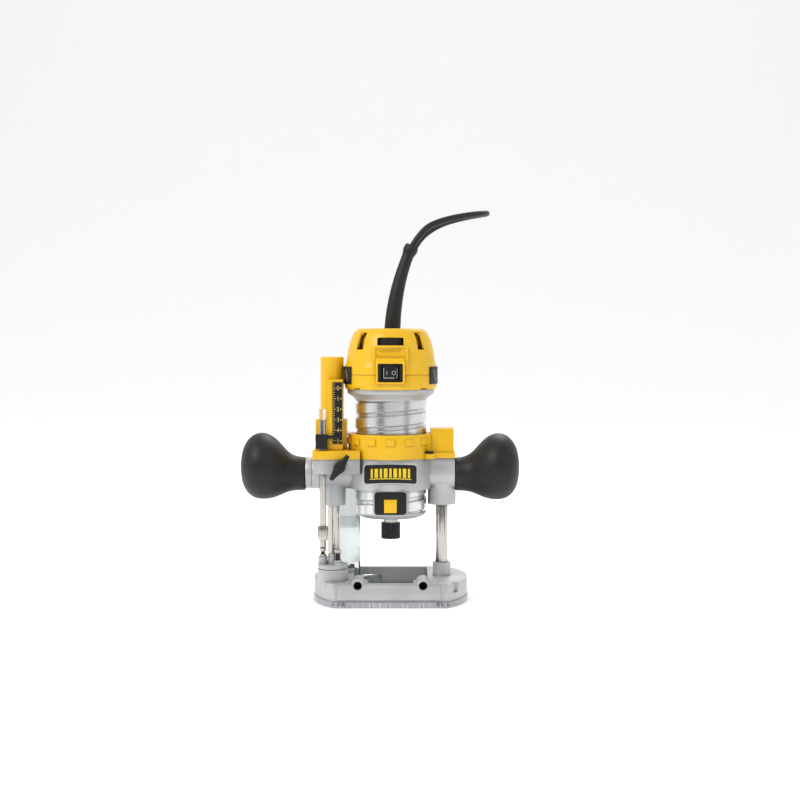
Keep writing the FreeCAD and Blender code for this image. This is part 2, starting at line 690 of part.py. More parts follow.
def motor_inside():
    """Stator, field coils, armature, fan, commutator, brushes and bearings."""
    node("stator", tube("motor_radius - motor_wall", 22.0, 54, (0, 0, 110)))
    node("field_coils", tube(30.0, 22.5, 8, (0, 0, 164)))
    shaft = rod(SHAFT + 0.02, 120, (0, 0, 90))
    node("armature", cut(fuse(rod(21.2, 50, (0, 0, 112)), rod(17.5, 66, (0, 0, 104))), shaft))
    node("commutator", tube(11.0, SHAFT + 0.02, 18, (0, 0, 176)))
    blades = []
    for number in range(9):
        turn = Rotation(Vector(0, 0, 1), 40.0 * number)
        corner = turn.multVec(Vector(7, -0.7, 0))
        blades.append(block((21, 1.4, 6), (corner.x, corner.y, 97), turn))
    fan = fuse(rod(28.5, 1.5, (0, 0, 96)), rod(9, 7, (0, 0, 96)), *blades)
    node("cooling_fan", cut(fan, rod(SHAFT + 0.02, 20, (0, 0, 90))))
    node("motor_bearings", group(tube(11.0, 6.0, 7.5, (0, 0, 82)), tube(9.5, 4.0, 7, (0, 0, 226))))
    bridge = fuse(rod(13, 10, (0, 0, 225)), block((76, 10, 4), (-38, -5, 225)))
    node("bearing_bridge", cut(bridge, rod(9.5, 20, (0, 0, 226)), rod(6.0, 20, (0, 0, 220))))
    brushes = []
    holders = []
    springs = []
    for side in (-1, 1):
        brushes.append(block((11, 8, 5), (11.3 if side > 0 else -22.3, -4, 181.5)))
        sleeve = block((16, 10, 7), (14 if side > 0 else -30, -5, 180.5))
        holders.append(cut(sleeve, block((40, 8, 5), (0 if side > 0 else -40, -4, 181.5))))
        springs.append(rod(2.2, 7, (22.5 * side, 0, 184), "X" if side > 0 else "-X"))
    node("carbon_brushes", group(*brushes))
    node("brush_holders", group(*holders))
    node("brush_springs", group(*springs))


def spindle():
    """Spindle shaft with the collet and its nut."""
    profile = [(5.3, 66), (7.0, 66), (7.0, 80), (6.0, 80), (6.0, 95), (SHAFT, 95), (SHAFT, 200), (4.0, 200),
               (4.0, 236), (0, 236), (0, 86), (5.3, 86)]
    turned("spindle_shaft", profile)
    node("collet", tube(5.2, 4.0, 22, (0, 0, 62.1)))
    ribs = []
    for number in range(12):
        angle = math.radians(30 * number)
        ribs.append(rod(1.1, 12.4, (9.9 * math.cos(angle), 9.9 * math.sin(angle), 60)))
    blank = cut(rod(9.3, 15.3, (0, 0, 58.7)), *ribs)
    node("collet_nut", cut(blank, rod(4.4, 40, (0, 0, 50)), rod(5.3, 40, (0, 0, 62)), rod(7.0, 40, (0, 0, 66))))


def spindle_lock():
    """Black bezel on the barrel with the lock button, its pin and spring."""
    shell = block((30, 9, 21.5), (-15, -39.4, 86.2))
    barrel = rod("motor_radius", 60, (0, 0, 70))
    window = block((12.8, 20, 13.3), (-6.4, -50, 87.8))
    node("lock_housing", cut(shell, barrel, window))
    cap = cut(block((12, 7, 12.5), (-6, -42.0, 88.2)), rod("motor_radius + 3.2", 60, (0, 0, 70)))
    node("lock_button", fuse(cap, rod(1.9, 28, (0, -37.9, 93.6), "Y")))


# ---------------------------------------------------------------- mains cord

LEAD_ROUTE = [(21.2, 25.4, 343.4), (31, 26.7, 360), (50, 29, 369), (76.5, 36, 375), (97, 56, 378.5),
              (97, 85, 380.5), (76.5, 105.5, 379), (49, 107.5, 371.5), (28, 107.5, 356), (16, 107, 329),
              (8, 106, 296), (3.5, 106, 258), (3, 110, 216), (6, 116, 180), (22, 124, 150),
              (43, 134, 120), (53.5, 146, 86), (54.8, 154, 56), (54.8, 152.5, 32), (54.8, 139.5, 12.4),
              (54.8, 120, 3.1), (54.8, 102, 3.1)]
TAIL_ROUTE = [(33.5, 110, 3.1), (34.6, 98, 5.0), (29.5, 86, 9.5), (18.5, 76.5, 13.5), (3, 69, 15.6),
              (-12, 63.5, 15.6), (-29, 61, 11.5), (-43.4, 66.2, 7.6), (-54.2, 77, 7.0),
              (-59.4, 91.4, 7.0), (-59.4, 104, 7.0)]


def rounded_path(points):
    """Straight runs joined by tangent arcs as large as the runs allow."""
    spots = [Vector(*point) for point in points]
    edges = []
    radii = []
    start = spots[0]
    for before, corner, after in zip(spots, spots[1:], spots[2:]):
        back = (before - corner).normalize()
        ahead = (after - corner).normalize()
        half_turn = (math.pi - back.getAngle(ahead)) / 2
        reach = 0.45 * min(before.distanceToPoint(corner), corner.distanceToPoint(after))
        radius = reach / math.tan(half_turn)
        radii.append(radius)
        arc_start = corner + back * reach
        arc_end = corner + ahead * reach
        inward = (back + ahead).normalize()
        middle = corner + inward * (radius / math.cos(half_turn) - radius)
        edges.append(Part.LineSegment(start, arc_start).toShape())
        edges.append(Part.Arc(arc_start, middle, arc_end).toShape())
        start = arc_end
    edges.append(Part.LineSegment(start, spots[-1]).toShape())
    return Part.Wire(edges), radii


def cord_tube(name, points):
    """Round cord swept along a rounded path, with its volume checked."""
    path, radii = rounded_path(points)
    radius = SIZE["cord_radius"]
    ahead = Vector(*points[1]) - Vector(*points[0])
    section = Part.Wire([Part.Circle(Vector(*points[0]), ahead, radius).toShape()])
    shape = path.makePipeShell([section], True, False)
    expected = math.pi * radius ** 2 * path.Length
    print(f"{name}: length {path.Length:.0f}, radii", [round(r) for r in radii],
          f"volume ratio {shape.Volume / expected:.3f}")
    feature = doc.addObject("Part::Feature", "Cord")
    feature.Shape = shape
    node(name, feature)


def oval(radius, low, high):
    """Slab with round ends and short straight sides at the coil's place."""
    half = "coil_straight / 2"
    ends = [rod(radius, f"{high} - {low}", (f"coil_at {sign} {half}", "coil_back", low)) for sign in "+-"]
    middle = block(("coil_straight", f"({radius}) * 2", f"{high} - {low}"),
                   (f"coil_at - {half}", f"coil_back - ({radius})", low))
    return fuse(*ends, middle)


def mains_cord():
    """Cord from the sleeve to the coil, the coil, the tail, its tie and the plug."""
    cord_tube("cord_lead", LEAD_ROUTE)
    cord_tube("cord_tail", TAIL_ROUTE)
    node("cord_coil", cut(oval("coil_bend + cord_radius", 0, 6.2), oval("coil_inner - cord_radius", -1, 8)))
    body = block((20, 28, 14), (-69.4, 112, 0))
    neck = cone(4.0, 5.6, 10, (-59.4, 103, 7), "Y")
    node("plug_body", fuse(body, neck))
    node("plug_pins", group(*[block((1.5, 17, 6.4), (x - 0.75, 140, 3.8)) for x in (-65.7, -53.1)]))


def check_and_export():
    """Stop on any failed object, then write one file per sub-part."""
    doc.recompute()
    for thing in doc.Objects:
        if "Invalid" in thing.State or "Error" in thing.State:
            raise RuntimeError(f"{thing.Name} ({thing.Label}) failed: {thing.State}")
    os.makedirs("parts", exist_ok=True)
    for thing in NODES:
        if thing.Shape.isNull() or not thing.Shape.isValid():
            raise RuntimeError(f"{thing.Label}: null or invalid shape")
        thing.Shape.exportStep(f"parts/{thing.Label}.step")
    print(len(NODES), "nodes")


sub_base()
base_screws()
base_casting()
columns()
plunge_springs()
dust_duct()
stop_turret()
depth_rod()
carriage_casting()
column_bushes()
carriage_cover()
cover_screws()
column_tower()
nameplate()
grips()
depth_knob()
dust_tube()
plunge_lock()
motor_clamp()
motor_barrel()
motor_cap()
cap_pads()
switch()
speed_dial()
strain_relief()
motor_inside()
spindle()
spindle_lock()
mains_cord()
check_and_export()
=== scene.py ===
"""Looks of the plunge router: finishes, soft-edged castings, moulded details and the mains cord."""
import json
import math

import bmesh
import bpy
from bpy.props import FloatProperty, FloatVectorProperty, IntProperty, PointerProperty
from mathutils import Matrix, Vector


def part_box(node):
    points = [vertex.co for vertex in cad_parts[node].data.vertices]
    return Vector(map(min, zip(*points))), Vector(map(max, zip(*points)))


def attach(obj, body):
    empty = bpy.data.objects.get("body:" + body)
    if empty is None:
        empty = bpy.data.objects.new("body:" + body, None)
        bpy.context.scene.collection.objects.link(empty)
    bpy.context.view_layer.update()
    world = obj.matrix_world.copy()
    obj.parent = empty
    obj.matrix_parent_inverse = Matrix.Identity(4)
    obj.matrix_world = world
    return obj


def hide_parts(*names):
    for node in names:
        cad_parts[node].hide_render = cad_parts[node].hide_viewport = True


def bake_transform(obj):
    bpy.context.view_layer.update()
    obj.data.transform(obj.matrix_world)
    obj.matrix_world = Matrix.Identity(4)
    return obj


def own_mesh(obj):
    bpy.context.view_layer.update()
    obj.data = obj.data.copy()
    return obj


bl_info = {
    "name": "Plunge Router Dresser",
    "version": (1, 0, 0),
    "blender": (4, 5, 0),
    "location": "View3D > Sidebar > Router",
    "description": "Builds the finishes, details, cord and studio of a plunge router",
    "category": "Object",
}

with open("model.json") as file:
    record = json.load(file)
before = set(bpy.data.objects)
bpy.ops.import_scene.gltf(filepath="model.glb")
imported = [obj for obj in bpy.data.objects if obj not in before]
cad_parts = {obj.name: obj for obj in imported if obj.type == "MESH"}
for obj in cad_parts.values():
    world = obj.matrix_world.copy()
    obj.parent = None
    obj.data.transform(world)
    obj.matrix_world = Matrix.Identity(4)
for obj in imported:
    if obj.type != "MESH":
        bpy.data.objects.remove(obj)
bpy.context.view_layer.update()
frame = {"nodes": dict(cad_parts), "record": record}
MM = 0.001
# Places and sizes in millimetres that several pieces share
TURRET_AXIS, SCREW_CIRCLE = (-55, -26.5), 9.5
ROD_AXIS = (-64.5, -26.5)
KNOB_PLACE, WING_LEAN = (-48, -41.5, 131), math.radians(55)
SCALE_FRONT, SCALE_BOTTOM = -26.82, 155.4
BARREL_BORE = 32.2
LOCK_HOLE = 94.45
PAD_RADIUS, PAD_HEIGHT = 44.9, 217.4

# ---- working helpers


def mm(*numbers):
    """Millimetres as a Blender vector in metres."""
    return Vector([number * MM for number in numbers])


def only(piece):
    """Select one object and nothing else."""
    if bpy.context.object and bpy.context.object.mode != "OBJECT":
        bpy.ops.object.mode_set(mode="OBJECT")
    bpy.ops.object.select_all(action="DESELECT")
    piece.select_set(True)
    bpy.context.view_layer.objects.active = piece


def apply_modifiers(piece):
    """Apply every modifier on a piece, first to last."""
    only(piece)
    for modifier in list(piece.modifiers):
        bpy.ops.object.modifier_apply(modifier=modifier.name)


def settle(piece):
    """Put a piece's place into its mesh."""
    only(piece)
    bpy.ops.object.transform_apply(location=True, rotation=True, scale=True)


def join(name, pieces):
    """Join settled pieces into one."""
    for piece in pieces:
        settle(piece)
    only(pieces[0])
    for piece in pieces[1:]:
        piece.select_set(True)
    if len(pieces) > 1:
        bpy.ops.object.join()
    pieces[0].name = name
    return pieces[0]


def smooth(piece, degrees=35):
    """Smooth shading that keeps sharp corners."""
    only(piece)
    bpy.ops.object.shade_smooth_by_angle(angle=math.radians(degrees))


def soften(piece, width, segments=3, limit=28):
    """Round a piece's sharp edges."""
    bevel = piece.modifiers.new("Soft edges", "BEVEL")
    bevel.width = width * MM
    bevel.segments = segments
    bevel.limit_method = "ANGLE"
    bevel.angle_limit = math.radians(limit)
    apply_modifiers(piece)


def edited(piece, *actions):
    """Run mesh operators, each with its options, on a piece's whole mesh."""
    only(piece)
    bpy.ops.object.mode_set(mode="EDIT")
    for operator, options in actions:
        bpy.ops.mesh.select_all(action="SELECT")
        operator(**options)
    bpy.ops.object.mode_set(mode="OBJECT")
    return piece


def face_out(piece):
    """Merge doubles and point the faces outwards."""
    return edited(piece, (bpy.ops.mesh.remove_doubles, {"threshold": 0.000004}),
                  (bpy.ops.mesh.normals_make_consistent, {"inside": False}))


def bisect(piece, place, normal, **options):
    """Cut a piece along a plane through a point in millimetres."""
    return edited(piece, (bpy.ops.mesh.bisect, {"plane_co": mm(*place), "plane_no": normal, **options}))


def dress(piece, body, finish, slot=None, degrees=35):
    """Finish a piece: shading, material and the body it rides on; the slot is not used."""
    settle(piece)
    smooth(piece, degrees)
    piece.data.materials.clear()
    piece.data.materials.append(MATERIALS[finish])
    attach(piece, body)
    slot = slot or finish
    return piece


def linked(name, data):
    """New object in the scene for a mesh or curve."""
    piece = bpy.data.objects.new(name, data)
    bpy.context.scene.collection.objects.link(piece)
    return piece


def new_mesh_piece(name, vertices, edges, faces):
    """Object from a given profile or outline."""
    mesh = bpy.data.meshes.new(name)
    mesh.from_pydata([tuple(v) for v in vertices], edges, faces)
    piece = linked(name, mesh)
    only(piece)
    return piece


def block(name, size, centre, bevel=0.0, turn=(0, 0, 0)):
    """Cube at a size and place in millimetres, with rounded edges."""
    bpy.ops.mesh.primitive_cube_add(size=1, location=mm(*centre), rotation=turn)
    piece = bpy.context.object
    piece.name = name
    piece.scale = mm(*size)
    settle(piece)
    if bevel:
        soften(piece, bevel)
    return piece


def rod(name, radius, length, centre, axis="Z", bevel=0.0, vertices=48):
    """Cylinder at a size and place in millimetres, with rounded rims."""
    turn = {"Z": (0, 0, 0), "X": (0, math.pi / 2, 0), "Y": (math.pi / 2, 0, 0)}[axis]
    bpy.ops.mesh.primitive_cylinder_add(vertices=vertices, radius=radius * MM, depth=length * MM,
                                        location=mm(*centre), rotation=turn)
    piece = bpy.context.object
    piece.name = name
    settle(piece)
    if bevel:
        soften(piece, bevel, 2, 50)
    return piece


def turned(name, profile, steps=96):
    """Spin a profile of (radius, height) round the upright axis; one that stays off the axis is closed."""
    corners = [mm(r, 0, z) for r, z in profile]
    edges = [(i, i + 1) for i in range(len(corners) - 1)]
    if profile[0][0] > 0 and profile[-1][0] > 0:
        edges.append((len(corners) - 1, 0))
    piece = new_mesh_piece(name, corners, edges, [])
    edited(piece, (bpy.ops.mesh.spin, {"steps": steps, "angle": 2 * math.pi, "center": (0, 0, 0),
                                       "axis": (0, 0, 1)}))
    return face_out(piece)


def carve(piece, cutter, operation="DIFFERENCE"):
    """Boolean a cutter with a piece and remove the cutter."""
    tool = piece.modifiers.new("Carve", "BOOLEAN")
    tool.operation = operation
    tool.solver = "EXACT"
    tool.object = cutter
    apply_modifiers(piece)
    bpy.data.objects.remove(cutter, do_unlink=True)
    return piece


def plate(name, width, height, depth, front, corner, rim=0.0):
    """Upright plate with rounded corners, its front face centred on a point in millimetres."""
    bpy.ops.mesh.primitive_plane_add(size=1, location=mm(*front), rotation=(math.pi / 2, 0, 0))
    piece = bpy.context.object
    piece.name = name
    piece.scale = mm(width, height, 1)
    settle(piece)
    edited(piece, (bpy.ops.mesh.bevel, {"offset": corner * MM, "segments": 6, "affect": "VERTICES"}),
           (bpy.ops.mesh.extrude_region_move, {"TRANSFORM_OT_translate": {"value": (0, depth * MM, 0)}}))
    face_out(piece)
    if rim:
        soften(piece, rim, 3, 50)
    return piece


def slice_x(piece, low, high, count):
    """Cut a piece across X so that it can follow a curve."""
    for step in range(1, count):
        bisect(piece, (low + (high - low) * step / count, 0, 0), (1, 0, 0))
    return piece


def wrap_front(piece, radius, height):
    """Bend a flat piece that is centred on the origin round the front of a barrel."""
    bend = piece.modifiers.new("Wrap", "SIMPLE_DEFORM")
    bend.deform_method = "BEND"
    bend.deform_axis = "Z"
    bend.angle = -piece.dimensions.x / (radius * MM)
    apply_modifiers(piece)
    piece.location = mm(0, -radius, height)
    settle(piece)
    return face_out(piece)


def ring_of(name, piece, count, centre=(0, 0, 0)):
    """Copies of a piece turned round an upright axis, joined into one."""
    hub = Matrix.Translation(mm(*centre))
    copies = []
    for index in range(count):
        copies.append(linked(name, piece.data.copy()))
        copies[-1].data.transform(hub @ Matrix.Rotation(2 * math.pi * index / count, 4, "Z") @ hub.inverted())
    bpy.data.objects.remove(piece, do_unlink=True)
    return join(name, copies)


def soft_copy(node, name, width, limit=28, segments=3, added=(), cutters=()):
    """Copy a CAD node's mesh, merge it, add and cut shapes, and round its edges."""
    piece = face_out(linked(name, frame["nodes"][node].data.copy()))
    thin = piece.modifiers.new("Flats", "DECIMATE")
    thin.decimate_type = "DISSOLVE"
    thin.angle_limit = math.radians(1.0)
    apply_modifiers(piece)
    for extra in added:
        carve(piece, extra, "UNION")
    for cutter in cutters:
        carve(piece, cutter)
    soften(piece, width, segments, limit)
    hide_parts(node)
    return piece


def soft_nodes(widths, ending="_soft"):
    """Put soft-edged copies in place of CAD nodes, each with its own edge width."""
    for node, width in widths.items():
        dress_like(soft_copy(node, node + ending, width), node)


# ---- shader groups


def feed(tree, socket, value):
    """Give an input a value, or link an output to it."""
    if isinstance(value, bpy.types.NodeSocket):
        tree.links.new(value, socket)
    else:
        socket.default_value = value


def add_node(tree, kind, **inputs):
    """Shader node with its inputs fed by label."""
    node = tree.nodes.new("ShaderNode" + kind)
    for label, value in inputs.items():
        feed(tree, node.inputs[label.replace("_", " ")], value)
    return node


def math_node(tree, operation, first, second, clamp=False):
    """Result of a math node on two values or outputs."""
    node = add_node(tree, "Math")
    node.operation = operation
    node.use_clamp = clamp
    feed(tree, node.inputs[0], first)
    feed(tree, node.inputs[1], second)
    return node.outputs[0]


def vector_math(tree, operation, first, second):
    """Outputs of a vector math node on two outputs."""
    node = add_node(tree, "VectorMath")
    node.operation = operation
    feed(tree, node.inputs[0], first)
    feed(tree, node.inputs[1], second)
    return node.outputs


def noise(tree, place, scale, detail):
    """Noise over coordinates."""
    return add_node(tree, "TexNoise", Vector=place, Scale=scale, Detail=detail).outputs["Fac"]


def object_place(tree):
    """The object's own coordinates."""
    return add_node(tree, "TexCoord").outputs["Object"]


def start_group(name, inputs, outputs):
    """New shader group: its tree, the sockets that its inputs give, and the sockets of its outputs."""
    tree = bpy.data.node_groups.new(name, "ShaderNodeTree")
    for label, default in inputs.items():
        kind = "NodeSocketVector" if isinstance(default, tuple) else "NodeSocketFloat"
        tree.interface.new_socket(label, in_out="INPUT", socket_type=kind).default_value = default
    for label in outputs:
        tree.interface.new_socket(label, in_out="OUTPUT", socket_type="NodeSocketFloat")
    return tree, tree.nodes.new("NodeGroupInput").outputs, tree.nodes.new("NodeGroupOutput").inputs


def build_grain_group():
    """Fine cast or moulded grain: a height and a slow mottle."""
    tree, given, result = start_group("Surface grain", {"Scale": 900.0, "Mottle scale": 25.0}, ("Height", "Mottle"))
    place = object_place(tree)
    feed(tree, result["Height"], noise(tree, place, given["Scale"], 4))
    feed(tree, result["Mottle"], noise(tree, place, given["Mottle scale"], 3))
    return tree


def build_wear_group():
    """Mask that is bright along edges, broken up by noise."""
    tree, given, result = start_group("Edge wear", {"Radius": 0.0008, "Amount": 0.5}, ("Mask",))
    bevel = add_node(tree, "Bevel", Radius=given["Radius"])
    bevel.samples = 4
    face = add_node(tree, "NewGeometry").outputs["Normal"]
    facing = vector_math(tree, "DOT_PRODUCT", bevel.outputs["Normal"], face)
    edge = math_node(tree, "MULTIPLY", math_node(tree, "SUBTRACT", 1.0, facing["Value"]), 6.0, clamp=True)
    patches = math_node(tree, "SUBTRACT", noise(tree, object_place(tree), 140, 5), 0.42)
    mask = math_node(tree, "MULTIPLY", edge, math_node(tree, "MULTIPLY", patches, 5.0, clamp=True))
    feed(tree, result["Mask"], math_node(tree, "MULTIPLY", mask, given["Amount"], clamp=True))
    return tree


def build_lathe_group():
    """Fine rings left by a lathe, or streaks along a ground rod."""
    tree, given, result = start_group("Tool lines", {"Across": (8.0, 8.0, 2200.0)}, ("Line",))
    stretched = vector_math(tree, "MULTIPLY", object_place(tree), given["Across"])
    feed(tree, result["Line"], noise(tree, stretched["Vector"], 1, 3))
    return tree


def build_crevice_shade_group():
    """Mask of painted shade: bright in grooves and corners, where less light reaches."""
    tree, given, result = start_group("Painted crevice shade", {"Reach": 0.004, "Amount": 0.5}, ("Mask",))
    shade = add_node(tree, "AmbientOcclusion", Distance=given["Reach"])
    shade.samples = 6
    mask = math_node(tree, "SUBTRACT", 1.0, shade.outputs["AO"])
    mask = math_node(tree, "MULTIPLY", mask, 1.6, clamp=True)
    feed(tree, result["Mask"], math_node(tree, "MULTIPLY", mask, given["Amount"], clamp=True))
    return tree


GROUPS = {
    "crevice_shade": build_crevice_shade_group(),
    "grain": build_grain_group(),
    "wear": build_wear_group(),
    "lathe": build_lathe_group(),
}

# ---- materials


def use_group(tree, name, **values):
    """Place a group with its own values and give its outputs."""
    node = add_node(tree, "Group")
    node.node_tree = GROUPS[name]
    for label, value in values.items():
        node.inputs[label.replace("_", " ").capitalize()].default_value = value
    return node.outputs


def mix_colour(tree, mask, first, second):
    """Mix two colours, each a value or an output."""
    node = add_node(tree, "Mix")
    node.data_type = "RGBA"
    feed(tree, node.inputs["Factor"], mask)
    for socket, colour in ((node.inputs[6], first), (node.inputs[7], second)):
        feed(tree, socket, (*colour, 1) if isinstance(colour, tuple) else colour)
    return node.outputs[2]


def spread(tree, value, low, high):
    """Map the middle of a noise to a range."""
    node = add_node(tree, "MapRange", Value=value, From_Min=0.3, From_Max=0.7, To_Min=low, To_Max=high)
    return node.outputs["Result"]


def surface(name, colour, shade, rough, metallic=0.0, grain=900.0, bump=0.15, deep=0.00012,
            wear=0.0, worn=(0.8, 0.8, 0.8), lines=None, line_bump=0.0, coat=0.0, shine=0.5, crevice_shade=0.0):
    """Solid finish: mottled colour, grained bump, worn edges and, where asked, tool lines and painted shade in
    grooves and corners.
    """
    material = bpy.data.materials.new(name)
    material.use_nodes = True
    tree = material.node_tree
    skin = use_group(tree, "grain", scale=grain, mottle_scale=28.0)
    tint = mix_colour(tree, spread(tree, skin["Mottle"], 0, 1), colour, shade)
    roughness = spread(tree, skin["Mottle"], rough - 0.05, rough + 0.05)
    height = skin["Height"]
    if lines:
        line = use_group(tree, "lathe", across=lines)["Line"]
        height = math_node(tree, "ADD", height, math_node(tree, "MULTIPLY", line, line_bump))
        tint = mix_colour(tree, spread(tree, line, 0.0, 0.5), tint, shade)
        roughness = math_node(tree, "ADD", roughness, spread(tree, line, -0.05, 0.07), True)
    if wear:
        tint = mix_colour(tree, use_group(tree, "wear", amount=wear)["Mask"], tint, worn)
    if crevice_shade:
        # Painted shade: grooves and corners darken towards a quarter of the shade colour.
        painted_shade = use_group(tree, "crevice_shade", amount=crevice_shade)["Mask"]
        tint = mix_colour(tree, painted_shade, tint, tuple(part * 0.25 for part in shade))
    relief = add_node(tree, "Bump", Strength=bump, Distance=deep, Height=height)
    inputs = {"Base Color": tint, "Roughness": roughness, "Normal": relief.outputs["Normal"], "Metallic": metallic,
              "Specular IOR Level": shine, "Coat Weight": coat, "Coat Roughness": 0.15}
    for label, value in inputs.items():
        feed(tree, tree.nodes["Principled BSDF"].inputs[label], value)
    return material


def see_through(name, colour, shade, rough, share, grain, bump):
    """Clear moulded plastic with faint flow marks that lets a share of the light through."""
    material = surface(name, colour, shade, rough, grain=grain, bump=bump, deep=0.0006)
    inputs = material.node_tree.nodes["Principled BSDF"].inputs
    inputs["Transmission Weight"].default_value = share
    inputs["IOR"].default_value = 1.45
    return material


def build_materials():
    """Every finish of the router."""
    turning = (1.0, 1.0, 900.0)
    along = (2400.0, 2400.0, 8.0)
    return {
        "yellow_plastic": surface("Yellow plastic", (0.93, 0.55, 0.010), (0.89, 0.51, 0.008), 0.38, grain=1500.0,
            bump=0.08, wear=0.3, worn=(0.98, 0.76, 0.20), coat=0.1, shine=0.4, crevice_shade=0.45),
        "cast_aluminium": surface("Cast aluminium", (0.60, 0.61, 0.62), (0.52, 0.53, 0.54), 0.48, metallic=0.6,
            grain=1300.0, bump=0.3, deep=0.0002, wear=0.6, worn=(0.85, 0.85, 0.86), crevice_shade=0.6),
        "turned_aluminium": surface("Turned aluminium", (0.80, 0.805, 0.82), (0.77, 0.775, 0.79), 0.27,
            metallic=1.0, bump=0.006, deep=0.00002, lines=turning, line_bump=1.0, wear=0.3,
            worn=(0.95, 0.95, 0.95), crevice_shade=1.0),
        "bright_steel": surface("Ground steel", (0.60, 0.575, 0.53), (0.55, 0.53, 0.49), 0.17, metallic=1.0,
            bump=0.02, deep=0.00003, lines=along, line_bump=0.8, crevice_shade=0.7),
        "dark_steel": surface("Blackened steel", (0.012, 0.012, 0.013), (0.02, 0.02, 0.021), 0.42,
            metallic=0.2, bump=0.2, wear=0.5, worn=(0.16, 0.16, 0.16), shine=0.35),
        "spring_steel": surface("Spring steel", (0.42, 0.42, 0.43), (0.3, 0.3, 0.31), 0.3, metallic=1.0),
        "lamination_steel": surface("Laminations", (0.34, 0.34, 0.36), (0.22, 0.22, 0.24), 0.4, metallic=0.9,
            lines=(4.0, 4.0, 5200.0), line_bump=2.0),
        "black_plastic": surface("Black plastic", (0.011, 0.011, 0.012), (0.016, 0.016, 0.017), 0.45,
            grain=1600.0, bump=0.14, wear=0.3, worn=(0.07, 0.07, 0.07), shine=0.3),
        "grip_rubber": surface("Soft grip", (0.010, 0.010, 0.011), (0.014, 0.014, 0.015), 0.5, grain=2200.0,
            bump=0.22, deep=0.0002, shine=0.4),
        "cord_rubber": surface("Cord rubber", (0.011, 0.011, 0.012), (0.018, 0.018, 0.019), 0.46, grain=1800.0,
            bump=0.2, shine=0.35),
        "clear_plastic": see_through("Clear plastic", (0.93, 0.95, 0.95), (0.88, 0.91, 0.91), 0.1, 0.92, 60.0, 0.12),
        "brass": surface("Brass", (0.72, 0.52, 0.22), (0.58, 0.40, 0.15), 0.3, metallic=1.0),
        "copper": surface("Copper", (0.72, 0.35, 0.2), (0.5, 0.22, 0.12), 0.35, metallic=1.0,
            lines=(4.0, 4.0, 3000.0), line_bump=2.0),
        "board": surface("Circuit board", (0.02, 0.16, 0.06), (0.03, 0.22, 0.08), 0.4, grain=700.0),
        "carbon": surface("Carbon", (0.03, 0.03, 0.03), (0.05, 0.05, 0.05), 0.6, grain=2000.0, bump=0.4),
        "sole": see_through("Sole plastic", (0.50, 0.51, 0.53), (0.40, 0.41, 0.43), 0.12, 0.6, 90.0, 0.2),
        "sole_rib": surface("Sole rib", (0.78, 0.79, 0.81), (0.25, 0.26, 0.28), 0.15, grain=300.0, bump=0.1),
        # Painted shade: a darker copy of the yellow plastic for recesses that lie in shadow.
        "painted_shade_yellow": surface("Shaded yellow", (0.42, 0.20, 0.006), (0.36, 0.17, 0.005), 0.6, grain=1500.0),
        "card": surface("Grey card", (0.12, 0.12, 0.12), (0.10, 0.10, 0.10), 0.9, shine=0.1),
        "pale_print": surface("Pale print", (0.55, 0.55, 0.54), (0.48, 0.48, 0.47), 0.5),
        "yellow_print": surface("Yellow print", (0.90, 0.66, 0.02), (0.85, 0.6, 0.015), 0.4),
        "dull_print": surface("Scale print", (0.66, 0.53, 0.20), (0.60, 0.47, 0.17), 0.5),
    }


MATERIALS = build_materials()
SLOT_OF = {row["node"]: row["material_slot"] for row in frame["record"]["subparts"]}


def body_of_node(node):
    """Name of the body that holds a CAD node."""
    return next(body for body, nodes in frame["record"]["behaviour"]["bodies"].items() if node in nodes)


def dress_like(piece, node, degrees=35):
    """Finish a piece the way its CAD node is finished."""
    return dress(piece, body_of_node(node), SLOT_OF[node], degrees=degrees)


# ---- settings


def amount(name, text, default, **options):
    """Number in a settings group."""
    return FloatProperty(name=name, description=text, default=default, **options)


def metres(name, text, default):
    """Length in a settings group."""
    return amount(name, text, default, unit="LENGTH")


class RouterSettings(bpy.types.PropertyGroup):
    """Numbers of the router's looks."""
    camera_distance: metres("Camera distance", "From the spindle to the camera", 1.3)
    camera_height: metres("Camera height", "Height of the camera over the sole", 0.25)
    camera_side: metres("Camera side", "Camera's place to the right of the spindle", 0.009)
    camera_tilt: amount("Camera tilt", "How far the camera looks down", math.radians(2.51), subtype="ANGLE")
    camera_lens: amount("Lens", "Focal length in millimetres", 60.4)
    floor_size: metres("Floor size", "Side of the floor", 8.0)
    key_power: amount("Key light", "Power of the main light in watts", 14.0)
    fill_power: amount("Fill light", "Power of the fill light in watts", 5.0)
    back_power: amount("Back light", "Power of the back light in watts", 8.0)


class CordSettings(bpy.types.PropertyGroup):
    """Numbers of the mains cord."""
    radius: metres("Cord radius", "Half the cord's thickness", 0.0031)
    turns: amount("Turns", "Angle the cord turns in its coil, in degrees", 1066.0)
    coil_start: metres("Outer turn", "Radius of the coil's outer turn", 0.0439)
    coil_end: metres("Inner turn", "Radius of the coil's inner turn", 0.0249)
    exit: FloatVectorProperty(name="Exit", description="Where the cord leaves its sleeve", size=3,
                              default=(0.0212, 0.0254, 0.3434), unit="LENGTH")


class MotorSettings(bpy.types.PropertyGroup):
    """Numbers of the motor barrel."""
    pitch: metres("Groove pitch", "Rise of the barrel's groove in one turn", 0.0139)
    radius: metres("Barrel radius", "Outside of the barrel", 0.0345)
    turns: IntProperty(name="Groove turns", description="Turns of the groove before the ends are cut", default=11)


class RouterOperator(bpy.types.Operator):
    """Shared base of the router's operators."""
    bl_options = {"REGISTER", "UNDO"}


# ---- camera


